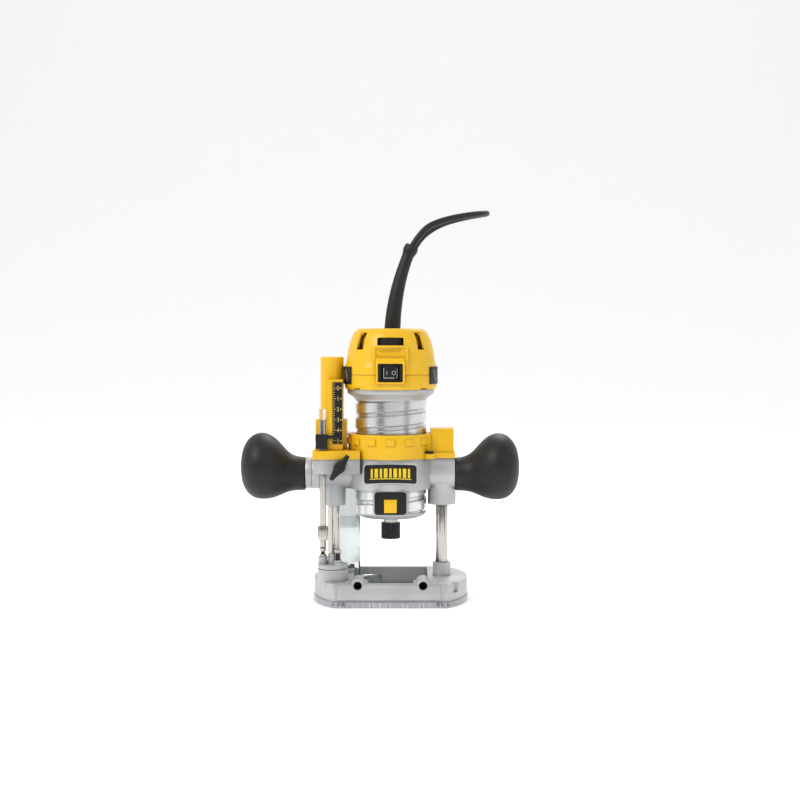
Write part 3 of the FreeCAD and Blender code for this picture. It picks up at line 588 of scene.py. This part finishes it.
class ROUTER_OT_camera(RouterOperator):
    """Place the camera at the front, a little above the motor"""
    bl_idname = "router.camera"
    bl_label = "Camera"

    def execute(self, context):
        settings = context.scene.router
        bpy.ops.object.camera_add(
            location=(settings.camera_side, -settings.camera_distance, settings.camera_height),
            rotation=(math.pi / 2 - settings.camera_tilt, 0, 0))
        camera = context.object
        camera.name = "camera"
        camera.data.lens = settings.camera_lens
        camera.data.sensor_width = 36
        camera.data.clip_end = 20
        context.scene.camera = camera
        context.scene.view_settings.view_transform = "Standard"
        return {"FINISHED"}


# ---- cord


def nurbs_route(name, points, weights=None):
    """Open NURBS line through millimetre points, with a radius at each."""
    data = bpy.data.curves.new(name, "CURVE")
    data.dimensions = "3D"
    spline = data.splines.new("NURBS")
    spline.points.add(len(points) - 1)
    for knot, point in zip(spline.points, points):
        knot.co = (*mm(*point), 1)
    for knot, weight in zip(spline.points, weights or [1] * len(points)):
        knot.radius = weight
    spline.order_u = 3
    spline.use_endpoint_u = True
    spline.resolution_u = 6
    return linked(name, data)


def route_points(route):
    """Points in order along a route's own line."""
    route.data.bevel_depth = 0
    bpy.context.view_layer.update()
    line = bpy.data.meshes.new_from_object(route.evaluated_get(bpy.context.evaluated_depsgraph_get()))
    points = [tuple(vertex.co) for vertex in line.vertices]
    bpy.data.meshes.remove(line)
    return points


def tube(route, depth, sides=4):
    """Mesh tube along a route."""
    route.data.bevel_depth = depth
    route.data.bevel_resolution = sides
    route.data.use_fill_caps = True
    only(route)
    bpy.ops.object.convert(target="MESH")
    face_out(bpy.context.object)
    return bpy.context.object


def coil_points(settings):
    """Flat oval coil, clockwise from above, drawn inwards."""
    points = []
    for turn in range(15, int(settings.turns) + 1, 30):
        radius = settings.coil_start + (settings.coil_end - settings.coil_start) * turn / settings.turns
        across, along = math.cos(math.radians(turn)), -math.sin(math.radians(turn))
        middle = 5.9 + (5 if across > 0 else -5)
        points.append((middle + radius / MM * across, 101.5 + radius / MM * along, 3.1))
    return points


class ROUTER_OT_cord(RouterOperator):
    """Lay the mains cord from its sleeve to the coil and the plug"""
    bl_idname = "router.cord"
    bl_label = "Mains cord"

    def execute(self, context):
        settings = context.scene.router_cord
        lead = [(21.2, 25.4, 343.4), (31, 26.7, 360), (50, 29, 369), (76.5, 36, 375), (97, 56, 378.5),
                (97, 85, 380.5), (76.5, 105.5, 379), (49, 107.5, 371.5), (28, 107.5, 356), (16, 107, 329),
                (8, 106, 296), (3.5, 106, 258), (3, 110, 216), (6, 116, 180), (22, 124, 150), (43, 134, 120),
                (53.5, 146, 86), (54.8, 154, 56), (54.8, 152.5, 32), (54.8, 139.5, 12.4), (54.8, 120, 3.1),
                (54.8, 106, 3.1)]
        tail = [(36.4, 96.5, 4.4), (32.6, 85.0, 8.0), (23.5, 75.5, 12.0), (7, 68.5, 15.2), (-12, 63.5, 15.6),
                (-29, 61, 11.5), (-43.4, 66.2, 7.6), (-54.2, 77, 7.0), (-59.4, 91.4, 7.0),
                (-59.4, 104, 7.0)]
        route = nurbs_route("cord_route", lead + coil_points(settings) + tail)
        path = route_points(route)
        cord = tube(route, settings.radius)
        cord.name = "mains_cord"
        smooth(cord, 60)
        cord.data.materials.clear()
        cord.data.materials.append(MATERIALS["cord_rubber"])
        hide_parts("cord_lead", "cord_tail", "cord_coil")
        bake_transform(cord)
        plug = dress_like(soft_copy("plug_body", "mains_plug", 1.6), "plug_body")
        pins = dress_like(soft_copy("plug_pins", "mains_plug_pins", 0.4), "plug_pins")
        return {"FINISHED"}


class ROUTER_OT_sleeve(RouterOperator):
    """Shape the tapered rubber sleeve over the cord"""
    bl_idname = "router.sleeve"
    bl_label = "Cord sleeve"

    def execute(self, context):
        rings = [(1.3, 21, 258, 8.1), (1.9, 21.1, 268, 8.0), (2.7, 21.2, 278, 7.6), (5.7, 21.7, 297, 6.9),
                 (10.2, 22.6, 315, 6.2), (14.9, 23.7, 329, 5.75), (16.6, 24.1, 333.6, 5.7), (17.6, 24.4, 336, 6.3),
                 (18.6, 24.7, 338.3, 7.15), (19.9, 25.0, 341, 7.2), (20.9, 25.3, 342.9, 6.6)]
        route = nurbs_route("sleeve_route", [ring[:3] for ring in rings], [ring[3] for ring in rings])
        sleeve = tube(route, MM, 8)
        sleeve.name = "cord_sleeve"
        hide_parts("strain_relief")
        dress_like(sleeve, "strain_relief", 50)
        return {"FINISHED"}


# ---- base


class ROUTER_OT_base(RouterOperator):
    """Soften the base casting and the clear sole, with the sole's ribs and dark tubes that paint the shade inside
    the guide bores
    """
    bl_idname = "router.base"
    bl_label = "Base"

    def execute(self, context):
        dress(soft_copy("sub_base", "sole_plate", 0.5), "base", "sole", "clear_plastic")
        rib_size, rib_height, straight_edge = (0.9, 0.7, 4.6), 2.8, 53
        ribs = [block("rib", rib_size, (step * 5.2 + (step % 3) * 0.6, -52.95, rib_height), 0.2)
                for step in range(-9, 10)]
        for side in (-1, 1):
            for angle in range(226, 262, 5):
                turn = math.radians(angle)
                place = (side * -74.9 * math.cos(turn), 74.9 * math.sin(turn), rib_height)
                if abs(place[0]) > straight_edge:
                    ribs.append(block("rib", rib_size, place, 0.2, (0, 0, side * (math.pi / 2 - turn))))
        dress(join("sole_ribs", ribs), "base", "sole_rib", "clear_plastic")
        dress_like(soft_copy("base_casting", "base_frame", 0.9), "base_casting")
        # Painted shade: dark tubes inside the guide bores stand in for the shade deep in the holes.
        shade_liners = []
        for side in (-1, 1):
            shade_liner = turned("shade_liner", [(0, 0), (4.02, 0), (4.02, 15.5), (3.75, 15.5), (3.75, 1), (0, 1)], 32)
            shade_liner.rotation_euler = (math.pi / 2, 0, 0)
            shade_liner.location = mm(side * 30.7, -33.0, 20.8)
            shade_liners.append(shade_liner)
        dress(join("bore_shade_liners", shade_liners), "base", "dark_steel")
        return {"FINISHED"}


def half_of(node, name, side):
    """Copy the part of a CAD node's mesh that lies left (-1) or right (1) of the middle."""
    piece = linked(name, frame["nodes"][node].data.copy())
    mesh = bmesh.new()
    mesh.from_mesh(piece.data)
    away = [vertex for vertex in mesh.verts if vertex.co.x * side < 0]
    bmesh.ops.delete(mesh, geom=away, context="VERTS")
    mesh.to_mesh(piece.data)
    mesh.free()
    return face_out(piece)


class ROUTER_OT_columns(RouterOperator):
    """Polish the two ground columns and split their springs into a left and a right piece"""
    bl_idname = "router.columns"
    bl_label = "Columns"

    def execute(self, context):
        soft_nodes({"left_column": 0.8, "right_column": 0.8}, "_rod")
        for name, side, foot in (("left_spring", -1, 48.0), ("right_spring", 1, 28.0)):
            spring = half_of("plunge_springs", name, side)
            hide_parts("plunge_springs")
            dress_like(spring, "plunge_springs", 60)
            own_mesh(spring)
        return {"FINISHED"}


class ROUTER_OT_duct(RouterOperator):
    """Soften the clear dust duct"""
    bl_idname = "router.duct"
    bl_label = "Dust duct"

    def execute(self, context):
        soft_nodes({"dust_duct": 0.5, "dust_scoop": 0.7, "dust_tube": 0.5}, "_shell")
        return {"FINISHED"}


class ROUTER_OT_turret(RouterOperator):
    """Soften the stop turret with its screws and nuts"""
    bl_idname = "router.turret"
    bl_label = "Turret"

    def execute(self, context):
        soft_nodes({"stop_turret": 0.6, "stop_screws": 0.25, "stop_lock_nuts": 0.3, "turret_bolt": 0.3})
        heads = []
        for angle, top in ((180, 53.4), (60, 49.0), (300, 53.2)):
            x = TURRET_AXIS[0] + SCREW_CIRCLE * math.cos(math.radians(angle))
            y = TURRET_AXIS[1] + SCREW_CIRCLE * math.sin(math.radians(angle))
            heads.append(rod("head", 3.5, 2.6, (x, y, top - 1.3), "Z", 0.35, 6))
            heads.append(rod("collar", 2.6, 1.2, (x, y, top - 3.1), "Z", 0.2, 24))
        dress(join("stop_screw_heads", heads), "turret", "bright_steel")
        return {"FINISHED"}


class ROUTER_OT_depth_stop(RouterOperator):
    """Finish the depth rod, its pointer, knurled sleeve and wing knob"""
    bl_idname = "router.depth_stop"
    bl_label = "Depth stop"

    def execute(self, context):
        soft_nodes({"depth_rod": 0.4, "rod_cap": 0.6, "fine_adjuster": 0.3})
        hook = block("hook", (10.4, 2.4, 3.4), (-66, -31.0, 158.4), 0.4)
        dress_like(soft_copy("depth_pointer", "depth_pointer_soft", 1.5, added=[hook]), "depth_pointer")
        ridge = block("ridge", (0.55, 0.45, 8.6), (ROD_AXIS[0] + 4.8, ROD_AXIS[1], 68.6), 0.12)
        dress(ring_of("adjuster_knurl", ridge, 34, (*ROD_AXIS, 0)), "adjuster", "bright_steel")
        wings = []
        for side in (-1, 1):
            bpy.ops.mesh.primitive_cone_add(vertices=32, radius1=4.9 * MM, radius2=1.7 * MM, depth=14.2 * MM)
            wing = bpy.context.object
            wing.scale = (1, 0.62, 1)
            settle(wing)
            soften(wing, 1.3, 4, 40)
            out = side * 7.1
            wing.rotation_euler = (0, math.pi / 2 - WING_LEAN + (math.pi if side < 0 else 0), 0)
            wing.location = mm(*KNOB_PLACE) + mm(out * math.cos(WING_LEAN), 0, out * math.sin(WING_LEAN))
            wings.append(wing)
        hub = rod("hub", 5.3, 9.5, (KNOB_PLACE[0], KNOB_PLACE[1] + 2.35, KNOB_PLACE[2]), "Y", 1.0)
        knob = join("depth_knob_wings", [hub, *wings])
        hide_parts("depth_knob")
        dress_like(knob, "depth_knob", 50)
        return {"FINISHED"}


# ---- carriage


class ROUTER_OT_carriage(RouterOperator):
    """Soften the carriage casting and its collar"""
    bl_idname = "router.carriage"
    bl_label = "Carriage"

    def execute(self, context):
        soft_nodes({"carriage_casting": 1.1, "grip_collar": 0.6})
        return {"FINISHED"}


class ROUTER_OT_cover(RouterOperator):
    """Soften the yellow cover and the tower, with the cover's tabs and the shadow lines painted under and beside
    them
    """
    bl_idname = "router.cover"
    bl_label = "Cover and tower"

    def execute(self, context):
        dress_like(soft_copy("carriage_cover", "cover_shell", 0.8), "carriage_cover")
        dress_like(soft_copy("column_tower", "tower_shell", 1.7), "column_tower")
        soft_nodes({"cover_screws": 0.3})
        tab = block("tab", (7.6, 2.2, 5.6), (0, -41.0, 154.2), 0.5)
        dress(ring_of("cover_tabs", tab, 14), "carriage", "yellow_plastic")
        # Painted shadow: thin shaded-yellow strips under and beside each tab stand in for the shadow lines that the
        # tabs cast.
        tab_shadow = block("tab_shadow", (8.6, 2.2, 0.5), (0, -40.15, 150.9))
        side = block("tab_shadow", (0.4, 2.2, 6.0), (4.15, -40.0, 154.2))
        dress(ring_of("cover_tab_shadows", join("tab_shadow", [tab_shadow, side]), 14), "carriage", "painted_shade_yellow", "yellow_plastic")
        return {"FINISHED"}


class ROUTER_OT_scale(RouterOperator):
    """Print the ticks and numbers of the depth scale"""
    bl_idname = "router.scale"
    bl_label = "Depth scale"

    def execute(self, context):
        marks = []
        for step in range(28):
            wide = 3.0 if step % 5 == 0 else 1.7
            place = (-54.7 + wide / 2, SCALE_FRONT, SCALE_BOTTOM + 2 * step)
            marks.append(block("tick", (wide, 0.16, 0.5), place))
        for step in range(6):
            height = SCALE_BOTTOM + 10 * step
            marks.append(block("major", (1.4, 0.16, 1.0), (-47.2, SCALE_FRONT, height)))
            bpy.ops.object.text_add(location=mm(-51.3, SCALE_FRONT, height - 1.9), rotation=(math.pi / 2, 0, 0))
            number = bpy.context.object
            number.data.body = str(5 - step)
            number.data.size = 0.0056
            number.data.extrude = 0.0001
            number.data.resolution_u = 3
            bpy.ops.object.convert(target="MESH")
            marks.append(bpy.context.object)
        dress(join("scale_marks", marks), "carriage", "dull_print")
        return {"FINISHED"}


class ROUTER_OT_nameplate(RouterOperator):
    """Bend the nameplate with its generic pattern round the carriage"""
    bl_idname = "router.nameplate"
    bl_label = "Nameplate"

    def execute(self, context):
        lip = plate("nameplate_lip", 54.5, 19.6, 0.8, (0, 0, 0), 3.6, 0.3)
        wrap_front(slice_x(lip, -27.2, 27.2, 40), 40.55, 125.2)
        dress(lip, "carriage", "cast_aluminium")
        face = plate("nameplate_face", 52.3, 17.4, 0.8, (0, 0, 0), 2.8, 0.2)
        wrap_front(slice_x(face, -26.1, 26.1, 40), 40.95, 125.2)
        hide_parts("nameplate")
        dress_like(face, "nameplate")
        bars = [plate("bar", 3.4 if step % 2 else 2.2, 8.6, 0.3, (step * 4.5, 0, 0.4), 0.4) for step in range(-4, 5)]
        bars.append(plate("bar", 40.5, 0.9, 0.3, (0, 0, -5.0), 0.3))
        bars = join("nameplate_bars", bars)
        wrap_front(slice_x(bars, -21, 21, 30), 41.12, 125.6)
        dress(bars, "carriage", "yellow_print")
        return {"FINISHED"}


def grip(name, node, root, side):
    """Grip from circles drawn outwards from its root and rounded by subdivision."""
    sections = [(0, 0, 16.0), (0.8, 0, 16.2), (9, 0.3, 16.4), (17, 1.6, 19), (24, 4.2, 25), (32, 6.6, 30.6),
                (41, 7.8, 32.9), (50, 7.6, 31.6), (57, 7.2, 25.6), (61, 7, 17.5), (62.6, 7, 8)]
    bpy.ops.mesh.primitive_circle_add(vertices=28, radius=sections[0][2] * MM, fill_type="NGON",
                                      location=mm(*root), rotation=(0, math.pi / 2, 0))
    piece = bpy.context.object
    piece.name = name
    settle(piece)
    bpy.ops.object.mode_set(mode="EDIT")
    bpy.ops.mesh.select_all(action="SELECT")
    for before, after in zip(sections, sections[1:]):
        step = ((after[0] - before[0]) * side * MM, 0, (after[1] - before[1]) * MM)
        bpy.ops.mesh.extrude_region_move(TRANSFORM_OT_translate={"value": step})
        centre = mm(root[0] + side * after[0], root[1], root[2] + after[1])
        factor = after[2] / before[2]
        bpy.ops.transform.resize(value=(1, factor, factor), center_override=centre)
    bpy.ops.mesh.poke()
    bpy.ops.object.mode_set(mode="OBJECT")
    face_out(piece)
    round_off = piece.modifiers.new("Round", "SUBSURF")
    round_off.levels = 2
    apply_modifiers(piece)
    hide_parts(node)
    return dress_like(piece, node, 60)


class ROUTER_OT_grips(RouterOperator):
    """Model the two soft side grips"""
    bl_idname = "router.grips"
    bl_label = "Grips"

    def execute(self, context):
        grip("grip_right", "right_grip", (61.7, 0, 121.0), 1)
        grip("grip_left", "left_grip", (-82.3, 0, 121.5), -1)
        return {"FINISHED"}


class ROUTER_OT_levers(RouterOperator):
    """Soften the plunge lever, the motor latch and their screws"""
    bl_idname = "router.levers"
    bl_label = "Levers"

    def execute(self, context):
        soft_nodes({"plunge_lock_lever": 0.9, "plunge_lock_screw": 0.3, "clamp_lever": 0.8, "clamp_bolt": 0.4})
        return {"FINISHED"}


# ---- motor


class ROUTER_OT_barrel(RouterOperator):
    """Turn the motor barrel with its helical groove and flange"""
    bl_idname = "router.barrel"
    bl_label = "Motor barrel"

    def execute(self, context):
        settings = context.scene.router_motor
        radius, pitch = settings.radius / MM, settings.pitch / MM
        outline = [(radius, 0), (radius, pitch - 5.0), (radius - 0.25, pitch - 4.75), (radius - 1.4, pitch - 4.5),
                   (radius - 1.4, pitch - 0.9), (radius - 0.25, pitch - 0.25), (radius, pitch)]
        piece = new_mesh_piece("motor_tube", [mm(r, 0, 62 + z) for r, z in outline],
                               [(i, i + 1) for i in range(len(outline) - 1)], [])
        screw = piece.modifiers.new("Groove", "SCREW")
        screw.axis = "Z"
        screw.angle = 2 * math.pi
        screw.screw_offset = settings.pitch
        screw.iterations = settings.turns
        screw.steps = 96
        screw.render_steps = 96
        screw.use_merge_vertices = True
        screw.merge_threshold = 0.00001
        apply_modifiers(piece)
        face_out(piece)
        bisect(piece, (0, 0, 84.0), (0, 0, 1), use_fill=True, clear_inner=True)
        bisect(piece, (0, 0, 196.5), (0, 0, 1), use_fill=True, clear_outer=True)
        face_out(piece)
        carve(piece, rod("bore", BARREL_BORE, 130, (0, 0, 140), vertices=96))
        face_out(piece)
        dress_like(piece, "motor_barrel", 24)
        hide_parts("motor_barrel")
        flange = turned("flange", [(BARREL_BORE, 193), (34.4, 193), (34.6, 194), (35.6, 195.5), (39.5, 198.3),
                                   (41.6, 199.9), (42, 200.8), (42, 204.2), (BARREL_BORE, 204.2)])
        foot = turned("foot", [(7.6, 80.2), (28, 80.2), (29.4, 80.8), (33.4, 83.2), (33.9, 84.2), (33.9, 85.5),
                               (11.2, 85.5), (11.2, 81.9), (7.6, 81.9)])
        dress(join("motor_rims", [flange, foot]), "carriage", "cast_aluminium", degrees=40)
        return {"FINISHED"}


class ROUTER_OT_cap(RouterOperator):
    """Shape the motor cap: seam, front panel, vents with painted shade inside, notches, dial hump and side pads"""
    bl_idname = "router.cap"
    bl_label = "Motor cap"

    def execute(self, context):
        panel = block("panel", (33, 12, 40.5), (0, -37.2, 225.2), 0.8)
        hump = bisect(rod("hump", 12.9, 8, (0, -33.9, 244.6), "Y", 0.7, 64), (0, 0, 253.4), (0, 0, 1), use_fill=True,
                      clear_inner=True)
        cutters = [turned("seam", [(43.75, 217.7), (47, 217.7), (47, 218.4), (43.75, 218.4)])]
        for side in (-1, 1):
            for angle, size, reach, height in ((45, (8.4, 16, 19), 42, 251.5), (47, (9, 5, 1.8), 43.5, 204.4)):
                turn = side * math.radians(angle)
                place = (reach * math.sin(turn), -reach * math.cos(turn), height)
                cutters.append(block("cutter", size, place, 0, (0, 0, turn)))
        for size, place in (((28, 3, 8.6), (0, -43.7, 239.6)), ((23.4, 30, 17.2), (0, -33, 220.2)),
                            ((24.6, 22, 7.2), (0, -35, 249.7))):
            cutters.append(block("cutter", size, place))
        dress_like(soft_copy("motor_cap", "motor_hood", 0.5, added=[panel, hump], cutters=cutters), "motor_cap")
        surround = plate("switch_surround", 27.4, 24.2, 7, (0, -47.2, 221.9), 2.6)
        carve(surround, plate("hole", 23.2, 17.2, 30, (0, -60, 220.2), 1.2))
        soften(surround, 0.9, 3, 50)
        dress(surround, "carriage", "yellow_plastic")
        # Painted shade: a shaded-yellow wall behind the vents stands in for the shade deep inside them.
        vent_shade = turned("vent_shade_wall", [(32.4, 238), (33.6, 238), (33.6, 250), (30.5, 257.5), (28, 259), (27.2, 258),
                                        (29.4, 256.9), (32.4, 249.7)])
        carve(vent_shade, block("cutter", (30, 30, 10.5), (0, -30, 248.75)))
        dress(vent_shade, "carriage", "painted_shade_yellow", "yellow_plastic")
        wedge = [block("wedge", (20, 0.9, 0.7), (0, -42.5, 242.0), 0.2, (0, math.radians(-3.5), 0)),
                 block("wedge", (20, 0.9, 0.7), (0, -42.5, 240.6), 0.2)]
        dress(join("dial_wedge", wedge), "carriage", "yellow_plastic")
        pads, prints = [], []
        for side in (-1, 1):
            for step in range(-4, 5):
                turn = math.radians(90 + side * 90 - 7.5 * step * side)
                out = Vector((math.cos(turn), math.sin(turn), 0))
                place = out * PAD_RADIUS + Vector((0, 0, PAD_HEIGHT))
                pads.append(block("pad", (1.1, 6.2, 16.6), place, 0.3, (0, 0, turn)))
                if step in (-3, -1, 1, 3):
                    prints.append(block("print", (0.3, 0.8, 12), place + out * 0.52, 0, (0.5, 0, turn)))
        pads = join("side_pads", pads)
        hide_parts("cap_pads")
        dress_like(pads, "cap_pads")
        dress(join("side_pad_prints", prints), "carriage", "dull_print")
        return {"FINISHED"}


class ROUTER_OT_switch(RouterOperator):
    """Finish the rocker switch with its outline and marks"""
    bl_idname = "router.switch"
    bl_label = "Switch"

    def execute(self, context):
        soft_nodes({"switch_body": 0.5, "power_rocker": 0.4})
        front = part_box("power_rocker")[0].y / MM
        lines = (((0.5, 0.3, 9.5), -6.2, 0.55, 220.2), ((0.5, 0.3, 9.5), 6.2, 0.55, 220.2),
                 ((12.9, 0.3, 0.5), 0, 0.4, 215.6), ((0.5, 0.3, 3.6), -3.4, 0.25, 220.4))
        marks = [block("mark", size, (x, front + depth, z)) for size, x, depth, z in lines]
        bpy.ops.mesh.primitive_torus_add(major_radius=1.7 * MM, minor_radius=0.26 * MM, major_segments=24,
                                         minor_segments=6, location=mm(3.2, front + 0.25, 220.4),
                                         rotation=(math.pi / 2, 0, 0))
        marks.append(bpy.context.object)
        dress(join("switch_marks", marks), "rocker", "pale_print")
        return {"FINISHED"}


class ROUTER_OT_dial(RouterOperator):
    """Soften the ribbed speed dial"""
    bl_idname = "router.dial"
    bl_label = "Speed dial"

    def execute(self, context):
        soft_nodes({"speed_dial": 0.4})
        return {"FINISHED"}


class ROUTER_OT_lock(RouterOperator):
    """Shape the spindle lock: silver frame, black bezel and yellow button"""
    bl_idname = "router.lock"
    bl_label = "Spindle lock"

    def execute(self, context):
        silver = plate("lock_frame", 32.4, 23.6, 11, (0, -39.2, 96.9), 3.6)
        bezel = plate("lock_bezel", 30, 21.4, 9, (0, -40.6, 97.0), 3.0)
        for piece in (silver, bezel):
            carve(piece, plate("hole", 12.6, 13.1, 30, (0, -60, LOCK_HOLE), 0.8))
        soften(silver, 0.5, 2, 50)
        soften(bezel, 0.6, 3, 50)
        dress(silver, "carriage", "cast_aluminium")
        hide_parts("lock_housing")
        dress_like(bezel, "lock_housing")
        dress(plate("lock_back", 13.6, 14, 3, (0, -35.5, LOCK_HOLE), 0.4), "carriage", "black_plastic")
        soft_nodes({"lock_button": 1.0})
        return {"FINISHED"}


class ROUTER_OT_spindle(RouterOperator):
    """Soften the collet nut and give the bearings a running clearance"""
    bl_idname = "router.spindle"
    bl_label = "Spindle"

    def execute(self, context):
        soft_nodes({"collet_nut": 0.5})
        bores = [rod("bore", radius, 12, (0, 0, height), vertices=64) for radius, height in ((6.1, 86), (4.1, 230))]
        dress_like(soft_copy("motor_bearings", "motor_bearings_soft", 0.3, cutters=bores), "motor_bearings")
        return {"FINISHED"}


class ROUTER_OT_finishes(RouterOperator):
    """Give every CAD piece that stays in view its finish"""
    bl_idname = "router.finishes"
    bl_label = "Remaining finishes"

    def execute(self, context):
        for node, piece in frame["nodes"].items():
            material = MATERIALS[SLOT_OF[node]]
            if not piece.data.materials:
                piece.data.materials.append(material)
            for index in range(len(piece.data.materials)):
                piece.data.materials[index] = material
        return {"FINISHED"}


# ---- stage


def area_light(name, place, aim, size, power):
    """Soft light aimed at a point."""
    bpy.ops.object.light_add(type="AREA", location=place)
    light = bpy.context.object
    light.name = name
    light.data.size = size
    light.data.energy = power
    light.rotation_euler = (Vector(aim) - Vector(place)).to_track_quat("-Z", "Y").to_euler()
    return light


class ROUTER_OT_stage(RouterOperator):
    """Lay the floor, backdrop and studio lights"""
    bl_idname = "router.stage"
    bl_label = "Stage"

    def execute(self, context):
        settings = context.scene.router
        half, top = settings.floor_size / 2, settings.floor_size * 0.6
        corners = [(x, y, z) for y, z in ((-half, 0), (half, 0), (half, top)) for x in (-half, half)]
        floor = new_mesh_piece("studio_floor", corners, [], [(0, 1, 3, 2), (2, 3, 5, 4)])
        curve = floor.modifiers.new("Sweep", "BEVEL")
        curve.width = 1.6
        curve.segments = 24
        apply_modifiers(floor)
        smooth(floor, 60)
        paper = surface("Studio paper", (0.92, 0.92, 0.92), (0.905, 0.905, 0.905), 0.8, grain=400.0, bump=0.01)
        shader = paper.node_tree.nodes["Principled BSDF"]
        shader.inputs["Emission Color"].default_value = (1, 1, 1, 1)
        shader.inputs["Emission Strength"].default_value = 0.3
        shader.inputs["Specular IOR Level"].default_value = 0.1
        floor.data.materials.append(paper)
        world = bpy.data.worlds.new("Studio")
        world.use_nodes = True
        context.scene.world = world
        tree = world.node_tree
        split = add_node(tree, "SeparateXYZ", Vector=add_node(tree, "TexCoord").outputs["Generated"]).outputs
        ramp = add_node(tree, "ValToRGB")
        dark, light = ramp.color_ramp.elements
        dark.position, light.position = 0.08, 0.45
        dark.color, light.color = (0.16, 0.16, 0.17, 1), (1, 1, 1, 1)
        shifted = math_node(tree, "ADD", math_node(tree, "MULTIPLY", split["Y"], 0.5), 0.5)
        feed(tree, ramp.inputs[0], math_node(tree, "MAXIMUM", shifted, split["Z"]))
        feed(tree, tree.nodes["Background"].inputs["Color"], ramp.outputs[0])
        feed(tree, tree.nodes["Background"].inputs["Strength"], 0.7)
        for place, wide in (((-0.52, -0.82, 0.35), 0.42), ((0.66, -0.5, 0.3), 0.26)):
            bpy.ops.mesh.primitive_cube_add(size=1, location=place)
            card = context.object
            card.name = "studio_card"
            card.scale = (wide, 0.01, 0.7)
            card.rotation_euler = (0, 0, math.atan2(place[0], -place[1]))
            settle(card)
            card.data.materials.append(MATERIALS["card"])
            card.visible_camera = False
        for name, place, aim, size, power in (("key_light", (-1.0, -1.0, 1.3), 0.15, 0.7, settings.key_power),
                                              ("fill_light", (1.2, -0.9, 0.7), 0.15, 0.8, settings.fill_power),
                                              ("back_light", (0.3, 1.1, 1.4), 0.2, 0.8, settings.back_power)):
            area_light(name, place, (0, 0, aim), size, power)
        return {"FINISHED"}


# ---- panel


STEPS = (ROUTER_OT_camera, ROUTER_OT_cord, ROUTER_OT_sleeve, ROUTER_OT_base, ROUTER_OT_columns, ROUTER_OT_duct,
         ROUTER_OT_turret, ROUTER_OT_depth_stop, ROUTER_OT_carriage, ROUTER_OT_cover, ROUTER_OT_scale,
         ROUTER_OT_nameplate, ROUTER_OT_grips, ROUTER_OT_levers, ROUTER_OT_barrel, ROUTER_OT_cap, ROUTER_OT_switch,
         ROUTER_OT_dial, ROUTER_OT_lock, ROUTER_OT_spindle, ROUTER_OT_finishes, ROUTER_OT_stage)
SETTINGS = {"router": RouterSettings, "router_cord": CordSettings, "router_motor": MotorSettings}


class ROUTER_PT_panel(bpy.types.Panel):
    """List of the router's building steps"""
    bl_idname = "ROUTER_PT_panel"
    bl_label = "Plunge router"
    bl_space_type = "VIEW_3D"
    bl_region_type = "UI"
    bl_category = "Router"

    def draw(self, context):
        for step in STEPS:
            self.layout.operator(step.bl_idname)
        for label in ("camera_distance", "camera_height", "camera_tilt", "key_power", "fill_power"):
            self.layout.prop(context.scene.router, label)


CLASSES = (*SETTINGS.values(), *STEPS, ROUTER_PT_panel)


def register():
    """Register the classes and their settings."""
    for item in CLASSES:
        bpy.utils.register_class(item)
    for name, group in SETTINGS.items():
        setattr(bpy.types.Scene, name, PointerProperty(type=group))


def unregister():
    """Remove the settings and the classes."""
    for name in SETTINGS:
        delattr(bpy.types.Scene, name)
    for item in reversed(CLASSES):
        bpy.utils.unregister_class(item)


def main():
    """Build everything in order."""
    register()
    for step in STEPS:
        section, action = step.bl_idname.split(".")
        getattr(getattr(bpy.ops, section), action)()


if __name__ == "__main__":
    main()
